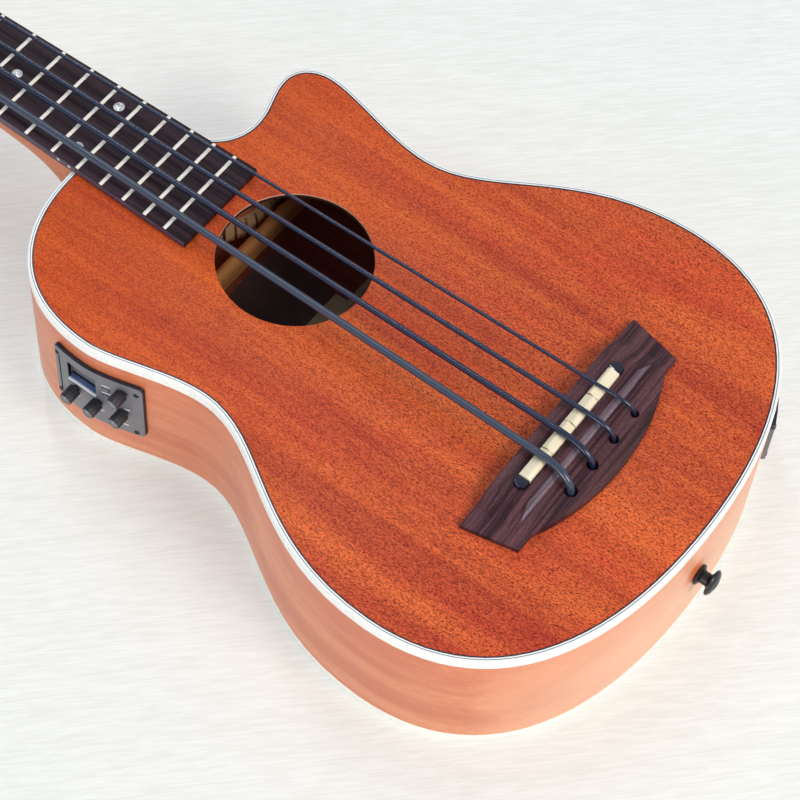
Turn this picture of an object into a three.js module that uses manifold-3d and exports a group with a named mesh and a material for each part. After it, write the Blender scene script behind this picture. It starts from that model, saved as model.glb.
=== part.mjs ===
// Bass ukulele with a single cutaway body, four strings and a built-in preamp.
// Millimetres. +X runs from the saddle to the headstock, +Y to the bass side, +Z up out of the soundboard.
// The origin is on the back plate's outer face, on the centre line, straight under the scale's end.

import * as THREE from 'three';
import { mergeVertices } from 'three/addons/utils/BufferGeometryUtils.js';
import Module from 'manifold-3d';

const wasm = await Module();
wasm.setup();

// Scale and frets
const SCALE_LENGTH = 520;
const FRET_COUNT = 16;
const JOINT_FRET = 12;
const SEMITONES = 12;

// Body outline, with the setbacks counted from the neck joint towards the saddle
const BODY_DEPTH = 78.5;
const TAIL_REACH = 79;
const LOWER_BOUT_X = 13;
const LOWER_BOUT_HALF = 129.2;
const WAIST_SETBACK = 126;
const WAIST_HALF = 84.5;
const UPPER_BOUT_SETBACK = 67;
const UPPER_BOUT_HALF = 96.2;
const JOINT_OVERHANG = 3;
const HEEL_SEAT_BASS_Y = 26;
const HORN_SETBACK = 62;
const HORN_HALF = 95.9;
const HORN_TIP_SETBACK = 43;
const HORN_TIP_Y = 79.5;
const CUTAWAY_SETBACK = 49;
const CUTAWAY_Y = 50;
const CUTAWAY_RUN_SETBACK = 17;
const CUTAWAY_RUN_Y = 24.5;
const HEEL_CORNER_RADIUS = 10;

// Bezier handles, each as a share of the span that it follows
const TAIL_HANDLE_SHARES = [0.61, 0.67];
const LOWER_HANDLE_SHARES = [0.53, 0.29];
const UPPER_HANDLE_SHARES = [0.33, 0.25];
const SHOULDER_HANDLE_SHARES = [0.7, 0.55];
const HORN_HANDLE_SHARES = [0.6, 0.56];
const CUTAWAY_HANDLE_SHARES = [0.36, 0.38];
const RUN_HANDLE_SHARES = [0.55, 0.66];

// Plates, rim and trim
const SOUNDBOARD_THICKNESS = 3;
const BACK_THICKNESS = 2.5;
const RIM_THICKNESS = 2.5;
const BINDING_WIDTH = 2.8;
const BINDING_HEIGHT = 6;
const BACK_BINDING_WIDTH = 2;
const LINING_WIDTH = 4;
const LINING_HEIGHT = 12;
const EDGE_GAP = 0.3;
const SOUND_HOLE_SETBACK = 112.5;
const SOUND_HOLE_RADIUS = 37;

// Blocks and braces
const NECK_BLOCK_LENGTH = 38;
const NECK_BLOCK_HALF = 34;
const TAIL_BLOCK_LENGTH = 22;
const TAIL_BLOCK_HALF = 38;
const BRACE_WIDTH = 9;
const BRACE_HEIGHT = 12;
const BRACE_TIP_HEIGHT = 4;
const BRACE_TIP_LENGTH = 28;
const BACK_BRACE_SETBACKS = [123, 62];
const TOP_BRACE_SETBACK = 58;
const BRIDGE_PLATE_THICKNESS = 2.5;
const BRIDGE_PLATE_MARGIN = 9;

// Neck
const NECK_DEPTH_AT_NUT = 15;
const NECK_DEPTH_AT_HEEL = 17.5;
const NECK_EDGE_HEIGHT = 2;
const HEEL_DEPTH = 76;
const HEEL_FOOT_Z = 3;
const HEEL_RUN = 13;
const HEEL_RING_SHARES = [0, 0.25, 0.55, 0.95, 1.5, 2.2, 3.2, 4.6];
const HEAD_ANGLE_DEGREES = 12;
const HEAD_LENGTH = 146;
const HEAD_THICKNESS = 13;
const HEAD_NEAR_HALF = 33.5;
const HEAD_FAR_HALF = 31;
const HEAD_FLARE_LENGTH = 34;
const HEAD_TIP_RADIUS = 12;
const HEAD_TIP_RISE = 5;
const HEAD_ROOT = 14;

// Fretboard, frets and nut
const FRETBOARD_THICKNESS = 4.2;
const FRETBOARD_PAST_LAST_FRET = 12.4;
const FRETBOARD_NUT_HALF = 20;
const FRETBOARD_END_HALF = 27.1;
const FRET_WIDTH = 2.2;
const FRET_HEIGHT = 0.9;
const FRET_TANG_WIDTH = 0.6;
const FRET_TANG_DEPTH = 1.6;
const FRET_SLOT_GAP = 0.3;
const FRET_END_INSET = 0.5;
const NUT_THICKNESS = 5;
const NUT_HEIGHT = 8;

// Bridge and saddle
const BRIDGE_FRONT_X = 8;
const BRIDGE_FRONT_HALF = 67.8;
const BRIDGE_WING_X = 19.3;
const BRIDGE_WING_HALF = 62;
const BRIDGE_WING_INNER_HALF = 53;
const BRIDGE_BELLY_X = 31.2;
const BRIDGE_HEIGHT = 8.5;
const BRIDGE_WING_HEIGHT = 3;
const BRIDGE_REAR_HEIGHT = 5;
const BRIDGE_BELLY_EDGE_HEIGHT = 1.8;
const BRIDGE_BELLY_BEVEL = 5.5;
const BRIDGE_PLATEAU_HALF = 43;
const BRIDGE_SLOPE_LENGTH = 13;
const BRIDGE_BEVEL_X = 9.8;
const BRIDGE_BEVEL_LENGTH = 3.4;
const BELLY_HANDLE_SHARES = [0.38, 0.5];
const SADDLE_FRONT_X = 0.6;
const SADDLE_WIDTH = 6;
const SADDLE_LENGTH = 70;
const SADDLE_TOP_HEIGHT = 11.5;
const SADDLE_CROWN_DROP = 1.3;
const SADDLE_SLOT_LENGTH = 81.2;
const SADDLE_SLOT_FLOOR = 3;
const PICKUP_THICKNESS = 1.5;
const PICKUP_WIDTH = 3.2;
const CROWN_SHARES = [0.72, 0.4, 0.62, 0.28];

// Strings, from the thickest on the bass side
const STRING_NAMES = ['e', 'a', 'd', 'g'];
const STRING_DIAMETERS = [4, 3.5, 2.9, 2.2];
const STRING_SADDLE_PITCH = 15.2;
const STRING_NUT_PITCH = 10.8;
const STRING_REAR_PITCH = 16.7;
const STRING_HOLE_X = 21;
const STRING_HOLE_PLAY = 1;
const STRING_BEND_RADIUS = 5;
const STRING_BEND_DROP = 1.6;
const STRING_KNOT_EXTRA = 2;
const STRING_GAP = 0.3;
const STRING_NUT_LIFT = 0.8;
const WIND_TURNS = 1.5;
const WIND_PITCH_EXTRA = 0.8;
const WIND_FLOOR = 1.8;

// Tuning machines
const NEAR_POST_DISTANCE = 46;
const FAR_POST_DISTANCE = 102;
const NEAR_POST_HALF = 22;
const FAR_POST_HALF = 20;
const POST_RADIUS = 5;
const POST_SHANK_RADIUS = 4;
const POST_HEIGHT = 14.5;
const POST_CAP_RADIUS = 6.4;
const POST_CAP_HEIGHT = 2.6;
const POST_FOOT = 1.2;
const RUN_GAP = 0.3;
const WHEEL_RADIUS = 8;
const WHEEL_THICKNESS = 4.4;
const WORM_RADIUS = 3;
const WORM_LENGTH = 15;
const HOUSING_WALL = 1.6;
const HOUSING_FLANGE = 1.8;
const HOUSING_TAB = 4;
const PIVOT_RADIUS = 2;
const KNOB_SHAFT_RADIUS = 2.2;
const KNOB_SHAFT_LENGTH = 7;
const KNOB_LENGTH = 20;
const KNOB_WIDTH = 21;
const KNOB_THICKNESS = 7;
const KNOB_EDGE = 1.6;
const KNOB_NECK_WIDTH = 9;

// Preamp
const PANEL_SETBACK = 72.7;
const PANEL_DROP = 35.4;
const PANEL_WIDTH = 48.2;
const PANEL_HEIGHT = 41;
const PANEL_THICKNESS = 2;
const PANEL_CORNER = 2.4;
const PANEL_RIM_INSET = 4.5;
const PANEL_HOUSING_DEPTH = 34;
const PANEL_HOUSING_FOOT = 10;
const PANEL_HOUSING_OVERLAP = 1;
const PANEL_OPENING_GAP = 0.6;
const DISPLAY_ALONG = 7.4;
const DISPLAY_RISE = 7.4;
const DISPLAY_WIDTH = 16.8;
const DISPLAY_HEIGHT = 14.6;
const DISPLAY_DEPTH = 4;
const DIAL_NAMES = ['volume', 'bass', 'middle', 'treble'];
const DIAL_ROW_BACK = 1.8;
const DIAL_PITCH = 12.9;
const DIAL_ROW_DROP = 3.7;
const VOLUME_RISE = 12.9;
const DIAL_RADIUS = 3.25;
const DIAL_HEIGHT = 7.4;
const DIAL_GAP = 0.9;
const DIAL_SHAFT_RADIUS = 1.5;
const DIAL_SHAFT_DEPTH = 6;
const DIAL_EDGE = 0.5;
const PUSH_NAMES = ['phase', 'tuner'];
const PUSH_BACK = 6.4;
const PUSH_RISE = 10.3;
const PUSH_PITCH = 5.6;
const PUSH_WIDTH = 3.4;
const PUSH_HEIGHT = 2;
const PUSH_LENGTH = 6;
const PUSH_PROUD = 1.4;

// Output plate and strap button
const JACK_PLATE_REACH = 104;
const JACK_PLATE_DROP = 39;
const JACK_PLATE_WIDTH = 58;
const JACK_PLATE_HEIGHT = 30;
const JACK_PLATE_THICKNESS = 2.4;
const JACK_PLATE_CORNER = 3;
const JACK_ALONG = 17;
const JACK_BARREL_RADIUS = 7.5;
const JACK_BARREL_LENGTH = 24;
const JACK_COLLAR_RADIUS = 6.5;
const JACK_COLLAR_LENGTH = 2;
const JACK_BORE_RADIUS = 3.3;
const JACK_HOLE_GAP = 0.8;
const BATTERY_BOX_WIDTH = 28;
const BATTERY_BOX_HEIGHT = 24;
const BATTERY_BOX_DEPTH = 22;
const BATTERY_BOX_BACK = 10;
const JACK_PLATE_OVERLAP = 1;
const STRAP_DROP = 42;
const STRAP_FLANGE_RADIUS = 5.3;
const STRAP_FLANGE_THICKNESS = 1.6;
const STRAP_WAIST_RADIUS = 3.2;
const STRAP_WAIST_LENGTH = 5;
const STRAP_HEAD_RADIUS = 6.6;
const STRAP_HEAD_THICKNESS = 3;
const STRAP_HEAD_FLAT_RADIUS = 3.4;
const STRAP_SCREW_RADIUS = 1.8;
const STRAP_SCREW_LENGTH = 20;

// One overrun serves every cut that runs past a surface
const OVERRUN = 5;

// Counts of facets
const OUTLINE_STEPS = { long: 9, short: 7, corner: 4 };
const ROUND_SIDES = 20;
const HOLE_SIDES = 14;
const SOUND_HOLE_SIDES = 48;
const STRING_SIDES = 8;
const WIND_STEPS_PER_TURN = 24;
const WIND_GAP_SAMPLES = 4;
const BEND_STEPS = 4;
const CROWN_STEPS = 6;

// Derived places
const TOP_Z = BODY_DEPTH;
const TOP_UNDERSIDE_Z = BODY_DEPTH - SOUNDBOARD_THICKNESS;
const JOINT_X = fretX(JOINT_FRET) + JOINT_OVERHANG;
const WAIST_X = JOINT_X - WAIST_SETBACK;
const UPPER_BOUT_X = JOINT_X - UPPER_BOUT_SETBACK;
const HORN_X = JOINT_X - HORN_SETBACK;
const HORN_TIP_X = JOINT_X - HORN_TIP_SETBACK;
const CUTAWAY_X = JOINT_X - CUTAWAY_SETBACK;
const CUTAWAY_RUN_X = JOINT_X - CUTAWAY_RUN_SETBACK;
const SOUND_HOLE_X = JOINT_X - SOUND_HOLE_SETBACK;
const PANEL_X = JOINT_X - PANEL_SETBACK;
const PANEL_Z = BODY_DEPTH - PANEL_DROP;
const PUSH_X = PANEL_X - PUSH_BACK;
const STRAP_Z = BODY_DEPTH - STRAP_DROP;
const FRETBOARD_TOP_Z = TOP_Z + FRETBOARD_THICKNESS;
const FRET_TOP_Z = FRETBOARD_TOP_Z + FRET_HEIGHT;
const FRETBOARD_END_X = fretX(FRET_COUNT) - FRETBOARD_PAST_LAST_FRET;
const LINING_INSET = BINDING_WIDTH + EDGE_GAP;
const LINING_INNER_INSET = LINING_INSET + LINING_WIDTH;
const HEAD_X = SCALE_LENGTH + NUT_THICKNESS;
const HEAD_ANGLE = THREE.MathUtils.degToRad(HEAD_ANGLE_DEGREES);
const SADDLE_TOP_Z = TOP_Z + SADDLE_TOP_HEIGHT;
const NUT_GROOVE_Z = FRET_TOP_Z + STRING_NUT_LIFT;
const WORM_OFFSET = WHEEL_RADIUS + WORM_RADIUS + RUN_GAP;
const WHEEL_TOP_W = -HEAD_THICKNESS - RUN_GAP - HOUSING_FLANGE - RUN_GAP;
const WHEEL_MIDDLE_W = WHEEL_TOP_W - WHEEL_THICKNESS / 2;

// Distance of a fret from the scale's end
function fretX(number) {
  return SCALE_LENGTH * 2 ** (-number / SEMITONES);
}

function fretboardHalf(x) {
  const share = (SCALE_LENGTH - x) / (SCALE_LENGTH - FRETBOARD_END_X);
  return FRETBOARD_NUT_HALF + (FRETBOARD_END_HALF - FRETBOARD_NUT_HALF) * share;
}

// Materials
function mahoganyTop() {
  return new THREE.MeshStandardMaterial({ color: 0xb9532c, roughness: 0.45, metalness: 0 });
}

function mahoganySide() {
  return new THREE.MeshStandardMaterial({ color: 0xc9805a, roughness: 0.5, metalness: 0 });
}

function mahoganyNeck() {
  return new THREE.MeshStandardMaterial({ color: 0xa8603c, roughness: 0.5, metalness: 0 });
}

function paleWood() {
  return new THREE.MeshStandardMaterial({ color: 0xcda877, roughness: 0.75, metalness: 0 });
}

function rosewood() {
  return new THREE.MeshStandardMaterial({ color: 0x3d2c30, roughness: 0.55, metalness: 0 });
}

function whiteBinding() {
  return new THREE.MeshStandardMaterial({ color: 0xf2efe8, roughness: 0.3, metalness: 0 });
}

function bone() {
  return new THREE.MeshStandardMaterial({ color: 0xeadfbf, roughness: 0.4, metalness: 0 });
}

function nickelSilver() {
  return new THREE.MeshStandardMaterial({ color: 0xd9d7cf, roughness: 0.25, metalness: 1 });
}

function stringPolymer() {
  return new THREE.MeshStandardMaterial({ color: 0x2b2f38, roughness: 0.35, metalness: 0 });
}

function blackPlastic() {
  return new THREE.MeshStandardMaterial({ color: 0x1e1f22, roughness: 0.5, metalness: 0 });
}

function blackMetal() {
  return new THREE.MeshStandardMaterial({ color: 0x17181a, roughness: 0.3, metalness: 0.9 });
}

function copperBraid() {
  return new THREE.MeshStandardMaterial({ color: 0xb07a4a, roughness: 0.45, metalness: 0.8 });
}

// Solids for cutting and joining
function solid(geometry) {
  const bare = geometry.clone();
  for (const name of Object.keys(bare.attributes)) {
    if (name !== 'position') {
      bare.deleteAttribute(name);
    }
  }
  const merged = mergeVertices(bare);
  const mesh = new wasm.Mesh({
    numProp: 3,
    vertProperties: new Float32Array(merged.attributes.position.array),
    triVerts: new Uint32Array(merged.index.array),
  });
  return new wasm.Manifold(mesh);
}

function geometryOf(manifold) {
  const mesh = manifold.getMesh();
  const geometry = new THREE.BufferGeometry();
  geometry.setAttribute('position', new THREE.BufferAttribute(new Float32Array(mesh.vertProperties), 3));
  geometry.setIndex(new THREE.BufferAttribute(new Uint32Array(mesh.triVerts), 1));
  geometry.computeVertexNormals();
  return geometry;
}

function cut(geometry, ...tools) {
  let result = solid(geometry);
  for (const tool of tools) {
    result = result.subtract(solid(tool));
  }
  return geometryOf(result);
}

function join(...geometries) {
  let result = solid(geometries[0]);
  for (const geometry of geometries.slice(1)) {
    result = result.add(solid(geometry));
  }
  return geometryOf(result);
}

function common(geometry, other) {
  return geometryOf(solid(geometry).intersect(solid(other)));
}

// A box between two corners
function block(low, high) {
  const geometry = new THREE.BoxGeometry(high[0] - low[0], high[1] - low[1], high[2] - low[2]);
  geometry.translate((low[0] + high[0]) / 2, (low[1] + high[1]) / 2, (low[2] + high[2]) / 2);
  return geometry;
}

// A cylinder from one point to another
function rod(start, end, radius, sides) {
  const from = new THREE.Vector3(...start);
  const along = new THREE.Vector3(...end).sub(from);
  const geometry = new THREE.CylinderGeometry(radius, radius, along.length(), sides);
  const turn = new THREE.Quaternion().setFromUnitVectors(new THREE.Vector3(0, 1, 0), along.clone().normalize());
  geometry.applyQuaternion(turn);
  const middle = from.addScaledVector(along, 1 / 2);
  geometry.translate(middle.x, middle.y, middle.z);
  return geometry;
}

function shapeOf(points) {
  return new THREE.Shape(points.map(([a, b]) => new THREE.Vector2(a, b)));
}

// A plan shape raised from one height to another
function raised(shape, low, high) {
  const geometry = new THREE.ExtrudeGeometry(shape, { depth: high - low, bevelEnabled: false, curveSegments: ROUND_SIDES });
  geometry.translate(0, 0, low);
  return geometry;
}

// A profile of (x, z) points carried along Y
function prismAlongY(points, low, high) {
  const geometry = new THREE.ExtrudeGeometry(shapeOf(points), { depth: high - low, bevelEnabled: false });
  const turn = new THREE.Matrix4().makeBasis(
    new THREE.Vector3(1, 0, 0),
    new THREE.Vector3(0, 0, 1),
    new THREE.Vector3(0, -1, 0),
  );
  geometry.applyMatrix4(turn);
  geometry.translate(0, high, 0);
  return geometry;
}

// A profile of (y, z) points carried along X
function prismAlongX(points, low, high) {
  const geometry = new THREE.ExtrudeGeometry(shapeOf(points), { depth: high - low, bevelEnabled: false });
  const turn = new THREE.Matrix4().makeBasis(
    new THREE.Vector3(0, 1, 0),
    new THREE.Vector3(0, 0, 1),
    new THREE.Vector3(1, 0, 0),
  );
  geometry.applyMatrix4(turn);
  geometry.translate(low, 0, 0);
  return geometry;
}

// A turned piece: (radius, height) points, from the axis back to the axis
function turned(points, sides) {
  const geometry = new THREE.LatheGeometry(points.map(([r, h]) => new THREE.Vector2(r, h)), sides);
  geometry.rotateX(Math.PI / 2);
  return geometry;
}

function roundedRectangle(width, height, corner) {
  const shape = new THREE.Shape();
  const x = width / 2;
  const y = height / 2;
  shape.moveTo(-x + corner, -y);
  shape.lineTo(x - corner, -y);
  shape.absarc(x - corner, -y + corner, corner, -Math.PI / 2, 0);
  shape.lineTo(x, y - corner);
  shape.absarc(x - corner, y - corner, corner, 0, Math.PI / 2);
  shape.lineTo(-x + corner, y);
  shape.absarc(-x + corner, y - corner, corner, Math.PI / 2, Math.PI);
  shape.lineTo(-x, -y + corner);
  shape.absarc(-x + corner, -y + corner, corner, Math.PI, Math.PI * 3 / 2);
  return shape;
}

// A closed skin over rings that have the same count of points
function loft(rings) {
  const count = rings[0].length;
  const positions = rings.flat(2);
  const index = [];
  for (let ring = 0; ring + 1 < rings.length; ring += 1) {
    for (let k = 0; k < count; k += 1) {
      const a = ring * count + k;
      const b = ring * count + (k + 1) % count;
      index.push(a, b, b + count, a, b + count, a + count);
    }
  }
  const last = (rings.length - 1) * count;
  for (let k = 1; k + 1 < count; k += 1) {
    index.push(0, k + 1, k);
    index.push(last, last + k, last + k + 1);
  }
  const geometry = new THREE.BufferGeometry();
  geometry.setAttribute('position', new THREE.Float32BufferAttribute(positions, 3));
  geometry.setIndex(index);
  return geometry;
}

// Body outline, run anticlockwise from the tail by way of the treble side
function bodyCurves() {
  const joint = JOINT_X;
  const path = new THREE.Path();
  const [tailStart, tailEnd] = TAIL_HANDLE_SHARES;
  const [lowerStart, lowerEnd] = LOWER_HANDLE_SHARES;
  const [upperStart, upperEnd] = UPPER_HANDLE_SHARES;
  const [hornStart, hornEnd] = HORN_HANDLE_SHARES;
  const [cutawayStart, cutawayEnd] = CUTAWAY_HANDLE_SHARES;
  const [runStart, runEnd] = RUN_HANDLE_SHARES;
  const [shoulderStart, shoulderEnd] = SHOULDER_HANDLE_SHARES;
  const tailSpan = LOWER_BOUT_X + TAIL_REACH;
  const lowerSpan = WAIST_X - LOWER_BOUT_X;
  const upperSpan = UPPER_BOUT_X - WAIST_X;
  const hornSpan = HORN_X - WAIST_X;
  path.moveTo(-TAIL_REACH, 0);
  path.bezierCurveTo(
    -TAIL_REACH, -LOWER_BOUT_HALF * tailStart,
    LOWER_BOUT_X - tailSpan * tailEnd, -LOWER_BOUT_HALF,
    LOWER_BOUT_X, -LOWER_BOUT_HALF,
  );
  path.bezierCurveTo(
    LOWER_BOUT_X + lowerSpan * lowerStart, -LOWER_BOUT_HALF,
    WAIST_X - lowerSpan * lowerEnd, -WAIST_HALF,
    WAIST_X, -WAIST_HALF,
  );
  path.bezierCurveTo(
    WAIST_X + hornSpan * upperStart, -WAIST_HALF,
    HORN_X - hornSpan * upperEnd, -HORN_HALF,
    HORN_X, -HORN_HALF,
  );
  path.bezierCurveTo(
    HORN_X + (HORN_TIP_X - HORN_X) * hornStart, -HORN_HALF,
    HORN_TIP_X, -HORN_TIP_Y - (HORN_HALF - HORN_TIP_Y) * hornEnd,
    HORN_TIP_X, -HORN_TIP_Y,
  );
  path.bezierCurveTo(
    HORN_TIP_X, -HORN_TIP_Y + (HORN_TIP_Y - CUTAWAY_Y) * cutawayStart,
    CUTAWAY_X, -CUTAWAY_Y - (HORN_TIP_Y - CUTAWAY_Y) * cutawayEnd,
    CUTAWAY_X, -CUTAWAY_Y,
  );
  path.bezierCurveTo(
    CUTAWAY_X, -CUTAWAY_Y + (CUTAWAY_Y - CUTAWAY_RUN_Y) * runStart,
    CUTAWAY_RUN_X - (CUTAWAY_RUN_X - CUTAWAY_X) * runEnd, -CUTAWAY_RUN_Y,
    CUTAWAY_RUN_X, -CUTAWAY_RUN_Y,
  );
  const corner = HEEL_CORNER_RADIUS;
  path.lineTo(joint - corner, -CUTAWAY_RUN_Y);
  path.absarc(joint - corner, -CUTAWAY_RUN_Y + corner, corner, -Math.PI / 2, 0);
  path.lineTo(joint, HEEL_SEAT_BASS_Y);
  path.bezierCurveTo(
    joint, HEEL_SEAT_BASS_Y + (UPPER_BOUT_HALF - HEEL_SEAT_BASS_Y) * shoulderEnd,
    UPPER_BOUT_X + (joint - UPPER_BOUT_X) * shoulderStart, UPPER_BOUT_HALF,
    UPPER_BOUT_X, UPPER_BOUT_HALF,
  );
  path.bezierCurveTo(
    UPPER_BOUT_X - upperSpan * upperEnd, UPPER_BOUT_HALF,
    WAIST_X + upperSpan * upperStart, WAIST_HALF,
    WAIST_X, WAIST_HALF,
  );
  path.bezierCurveTo(
    WAIST_X - lowerSpan * lowerEnd, WAIST_HALF,
    LOWER_BOUT_X + lowerSpan * lowerStart, LOWER_BOUT_HALF,
    LOWER_BOUT_X, LOWER_BOUT_HALF,
  );
  path.bezierCurveTo(
    LOWER_BOUT_X - tailSpan * tailEnd, LOWER_BOUT_HALF,
    -TAIL_REACH, LOWER_BOUT_HALF * tailStart,
    -TAIL_REACH, 0,
  );
  return path.curves;
}

const BODY_CURVES = bodyCurves();
const CURVE_STEPS = [
  OUTLINE_STEPS.long,
  OUTLINE_STEPS.short,
  OUTLINE_STEPS.short,
  OUTLINE_STEPS.corner,
  OUTLINE_STEPS.corner,
  OUTLINE_STEPS.short,
  1,
  OUTLINE_STEPS.corner,
  1,
  OUTLINE_STEPS.long,
  OUTLINE_STEPS.short,
  OUTLINE_STEPS.short,
  OUTLINE_STEPS.long,
];

// The outline moved inwards by an inset, or outwards where the inset is negative
function outline(inset) {
  const points = [];
  BODY_CURVES.forEach((curve, k) => {
    for (let step = 0; step < CURVE_STEPS[k]; step += 1) {
      const share = step / CURVE_STEPS[k];
      const point = curve.getPoint(share);
      const tangent = curve.getTangent(share);
      points.push([point.x - tangent.y * inset, point.y + tangent.x * inset]);
    }
  });
  return points;
}

function ring(outerInset, innerInset, low, high) {
  const shape = shapeOf(outline(outerInset));
  shape.holes.push(new THREE.Path(outline(innerInset).map(([x, y]) => new THREE.Vector2(x, y))));
  return raised(shape, low, high);
}

function plate(inset, low, high) {
  return raised(shapeOf(outline(inset)), low, high);
}

// Height in Y of the bass side's outer face, moved outwards by an outset
function bassSideY(x, outset) {
  const points = outline(-outset);
  for (let k = 0; k + 1 < points.length; k += 1) {
    const [x0, y0] = points[k];
    const [x1, y1] = points[k + 1];
    if (y0 > HEEL_SEAT_BASS_Y && x1 <= x && x <= x0) {
      return y0 + (y1 - y0) * (x0 - x) / (x0 - x1);
    }
  }
  return UPPER_BOUT_HALF + outset;
}

function roundHole(x, y, radius, sides) {
  const hole = new THREE.Path();
  for (let k = 0; k < sides; k += 1) {
    const angle = -Math.PI * 2 * k / sides;
    const place = [x + radius * Math.cos(angle), y + radius * Math.sin(angle)];
    if (k === 0) {
      hole.moveTo(...place);
    } else {
      hole.lineTo(...place);
    }
  }
  hole.closePath();
  return hole;
}

// Strings: place across the body at the saddle, at the nut and at the holes
function acrossPlace(index, spacing) {
  const middle = (STRING_NAMES.length - 1) / 2;
  return (middle - index) * spacing;
}

function stringRadius(index) {
  return STRING_DIAMETERS[index] / 2;
}

function stringHoleRadius(index) {
  return stringRadius(index) + STRING_HOLE_PLAY;
}

// Body
function makeSoundboard() {
  const shape = shapeOf(outline(LINING_INSET));
  shape.holes.push(roundHole(SOUND_HOLE_X, 0, SOUND_HOLE_RADIUS, SOUND_HOLE_SIDES));
  STRING_NAMES.forEach((name, k) => {
    const y = acrossPlace(k, STRING_REAR_PITCH);
    shape.holes.push(roundHole(-STRING_HOLE_X, y, stringHoleRadius(k), HOLE_SIDES));
  });
  return raised(shape, TOP_UNDERSIDE_Z, TOP_Z);
}

// Directions at a place on the tail side, an arc's length from the strap button: along it, up and outwards
function tailSideMatrix(reach) {
  const share = reach / BODY_CURVES[0].getLength();
  const point = BODY_CURVES[0].getPointAt(share);
  const tangent = BODY_CURVES[0].getTangentAt(share);
  return new THREE.Matrix4().makeBasis(
    new THREE.Vector3(tangent.x, tangent.y, 0),
    new THREE.Vector3(0, 0, 1),
    new THREE.Vector3(tangent.y, -tangent.x, 0),
  ).setPosition(point.x, point.y, BODY_DEPTH - JACK_PLATE_DROP);
}

function jackMatrix() {
  return tailSideMatrix(JACK_PLATE_REACH + JACK_ALONG);
}

// What reaches in through the rim: the jack's barrel and the battery box, each grown by a gap
function jackInnards(gap, outer) {
  const halfWidth = BATTERY_BOX_WIDTH / 2 + gap;
  const halfHeight = BATTERY_BOX_HEIGHT / 2 + gap;
  const barrel = rod([0, 0, -JACK_BARREL_LENGTH], [0, 0, outer], JACK_BARREL_RADIUS + gap, ROUND_SIDES);
  const box = block([-halfWidth, -halfHeight, -BATTERY_BOX_DEPTH], [halfWidth, halfHeight, outer]);
  return [
    barrel.applyMatrix4(jackMatrix()),
    box.applyMatrix4(tailSideMatrix(JACK_PLATE_REACH - BATTERY_BOX_BACK)),
  ];
}

function housingBlock(grow) {
  const halfWidth = PANEL_WIDTH / 2 - PANEL_RIM_INSET + grow;
  const inner = WAIST_HALF - PANEL_HOUSING_DEPTH;
  const low = PANEL_Z - PANEL_HEIGHT / 2 + PANEL_HOUSING_FOOT - grow;
  const high = PANEL_Z + PANEL_HEIGHT / 2 - PANEL_RIM_INSET + grow;
  return block([PANEL_X - halfWidth, inner, low], [PANEL_X + halfWidth, UPPER_BOUT_HALF + OVERRUN, high]);
}

function makeSideRim() {
  const wall = ring(0, RIM_THICKNESS, BACK_THICKNESS, TOP_Z - BINDING_HEIGHT);
  const strapHole = rod(
    [-TAIL_REACH - OVERRUN, 0, STRAP_Z],
    [-TAIL_REACH + RIM_THICKNESS + OVERRUN, 0, STRAP_Z],
    STRAP_SCREW_RADIUS + RUN_GAP,
    HOLE_SIDES,
  );
  return cut(wall, housingBlock(PANEL_OPENING_GAP), ...jackInnards(JACK_HOLE_GAP, OVERRUN), strapHole);
}

function endBlock(low, high) {
  const full = common(
    plate(LINING_INNER_INSET + EDGE_GAP, BACK_THICKNESS, TOP_UNDERSIDE_Z),
    block([low[0], low[1], 0], [high[0], high[1], TOP_Z]),
  );
  const waistLow = BACK_THICKNESS + LINING_HEIGHT + EDGE_GAP;
  const waistHigh = TOP_UNDERSIDE_Z - LINING_HEIGHT - EDGE_GAP;
  const swell = common(
    plate(RIM_THICKNESS + EDGE_GAP, waistLow, waistHigh),
    block([low[0], low[1], 0], [high[0], high[1], TOP_Z]),
  );
  return join(full, swell);
}

function makeNeckBlock() {
  return endBlock([JOINT_X - NECK_BLOCK_LENGTH, -NECK_BLOCK_HALF], [JOINT_X, NECK_BLOCK_HALF]);
}

function makeTailBlock() {
  const body = endBlock([-TAIL_REACH, -TAIL_BLOCK_HALF], [-TAIL_REACH + TAIL_BLOCK_LENGTH, TAIL_BLOCK_HALF]);
  const screw = rod(
    [-TAIL_REACH - OVERRUN, 0, STRAP_Z],
    [-TAIL_REACH + TAIL_BLOCK_LENGTH + OVERRUN, 0, STRAP_Z],
    STRAP_SCREW_RADIUS + RUN_GAP,
    HOLE_SIDES,
  );
  return cut(body, screw);
}

// Brace across the body whose ends run down to a thin tip short of the lining
function makeBrace(x, seatZ, direction) {
  const reach = braceReach(x);
  const profile = (y) => {
    const rise = Math.min((y - reach.low) / BRACE_TIP_LENGTH, (reach.high - y) / BRACE_TIP_LENGTH, 1);
    return seatZ + direction * (BRACE_TIP_HEIGHT + (BRACE_HEIGHT - BRACE_TIP_HEIGHT) * rise);
  };
  const shoulders = [reach.low + BRACE_TIP_LENGTH, reach.high - BRACE_TIP_LENGTH];
  const points = [
    [reach.low, seatZ],
    [reach.high, seatZ],
    [reach.high, profile(reach.high)],
    [shoulders[1], profile(shoulders[1])],
    [shoulders[0], profile(shoulders[0])],
    [reach.low, profile(reach.low)],
  ];
  return prismAlongX(points, x - BRACE_WIDTH / 2, x + BRACE_WIDTH / 2);
}

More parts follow.
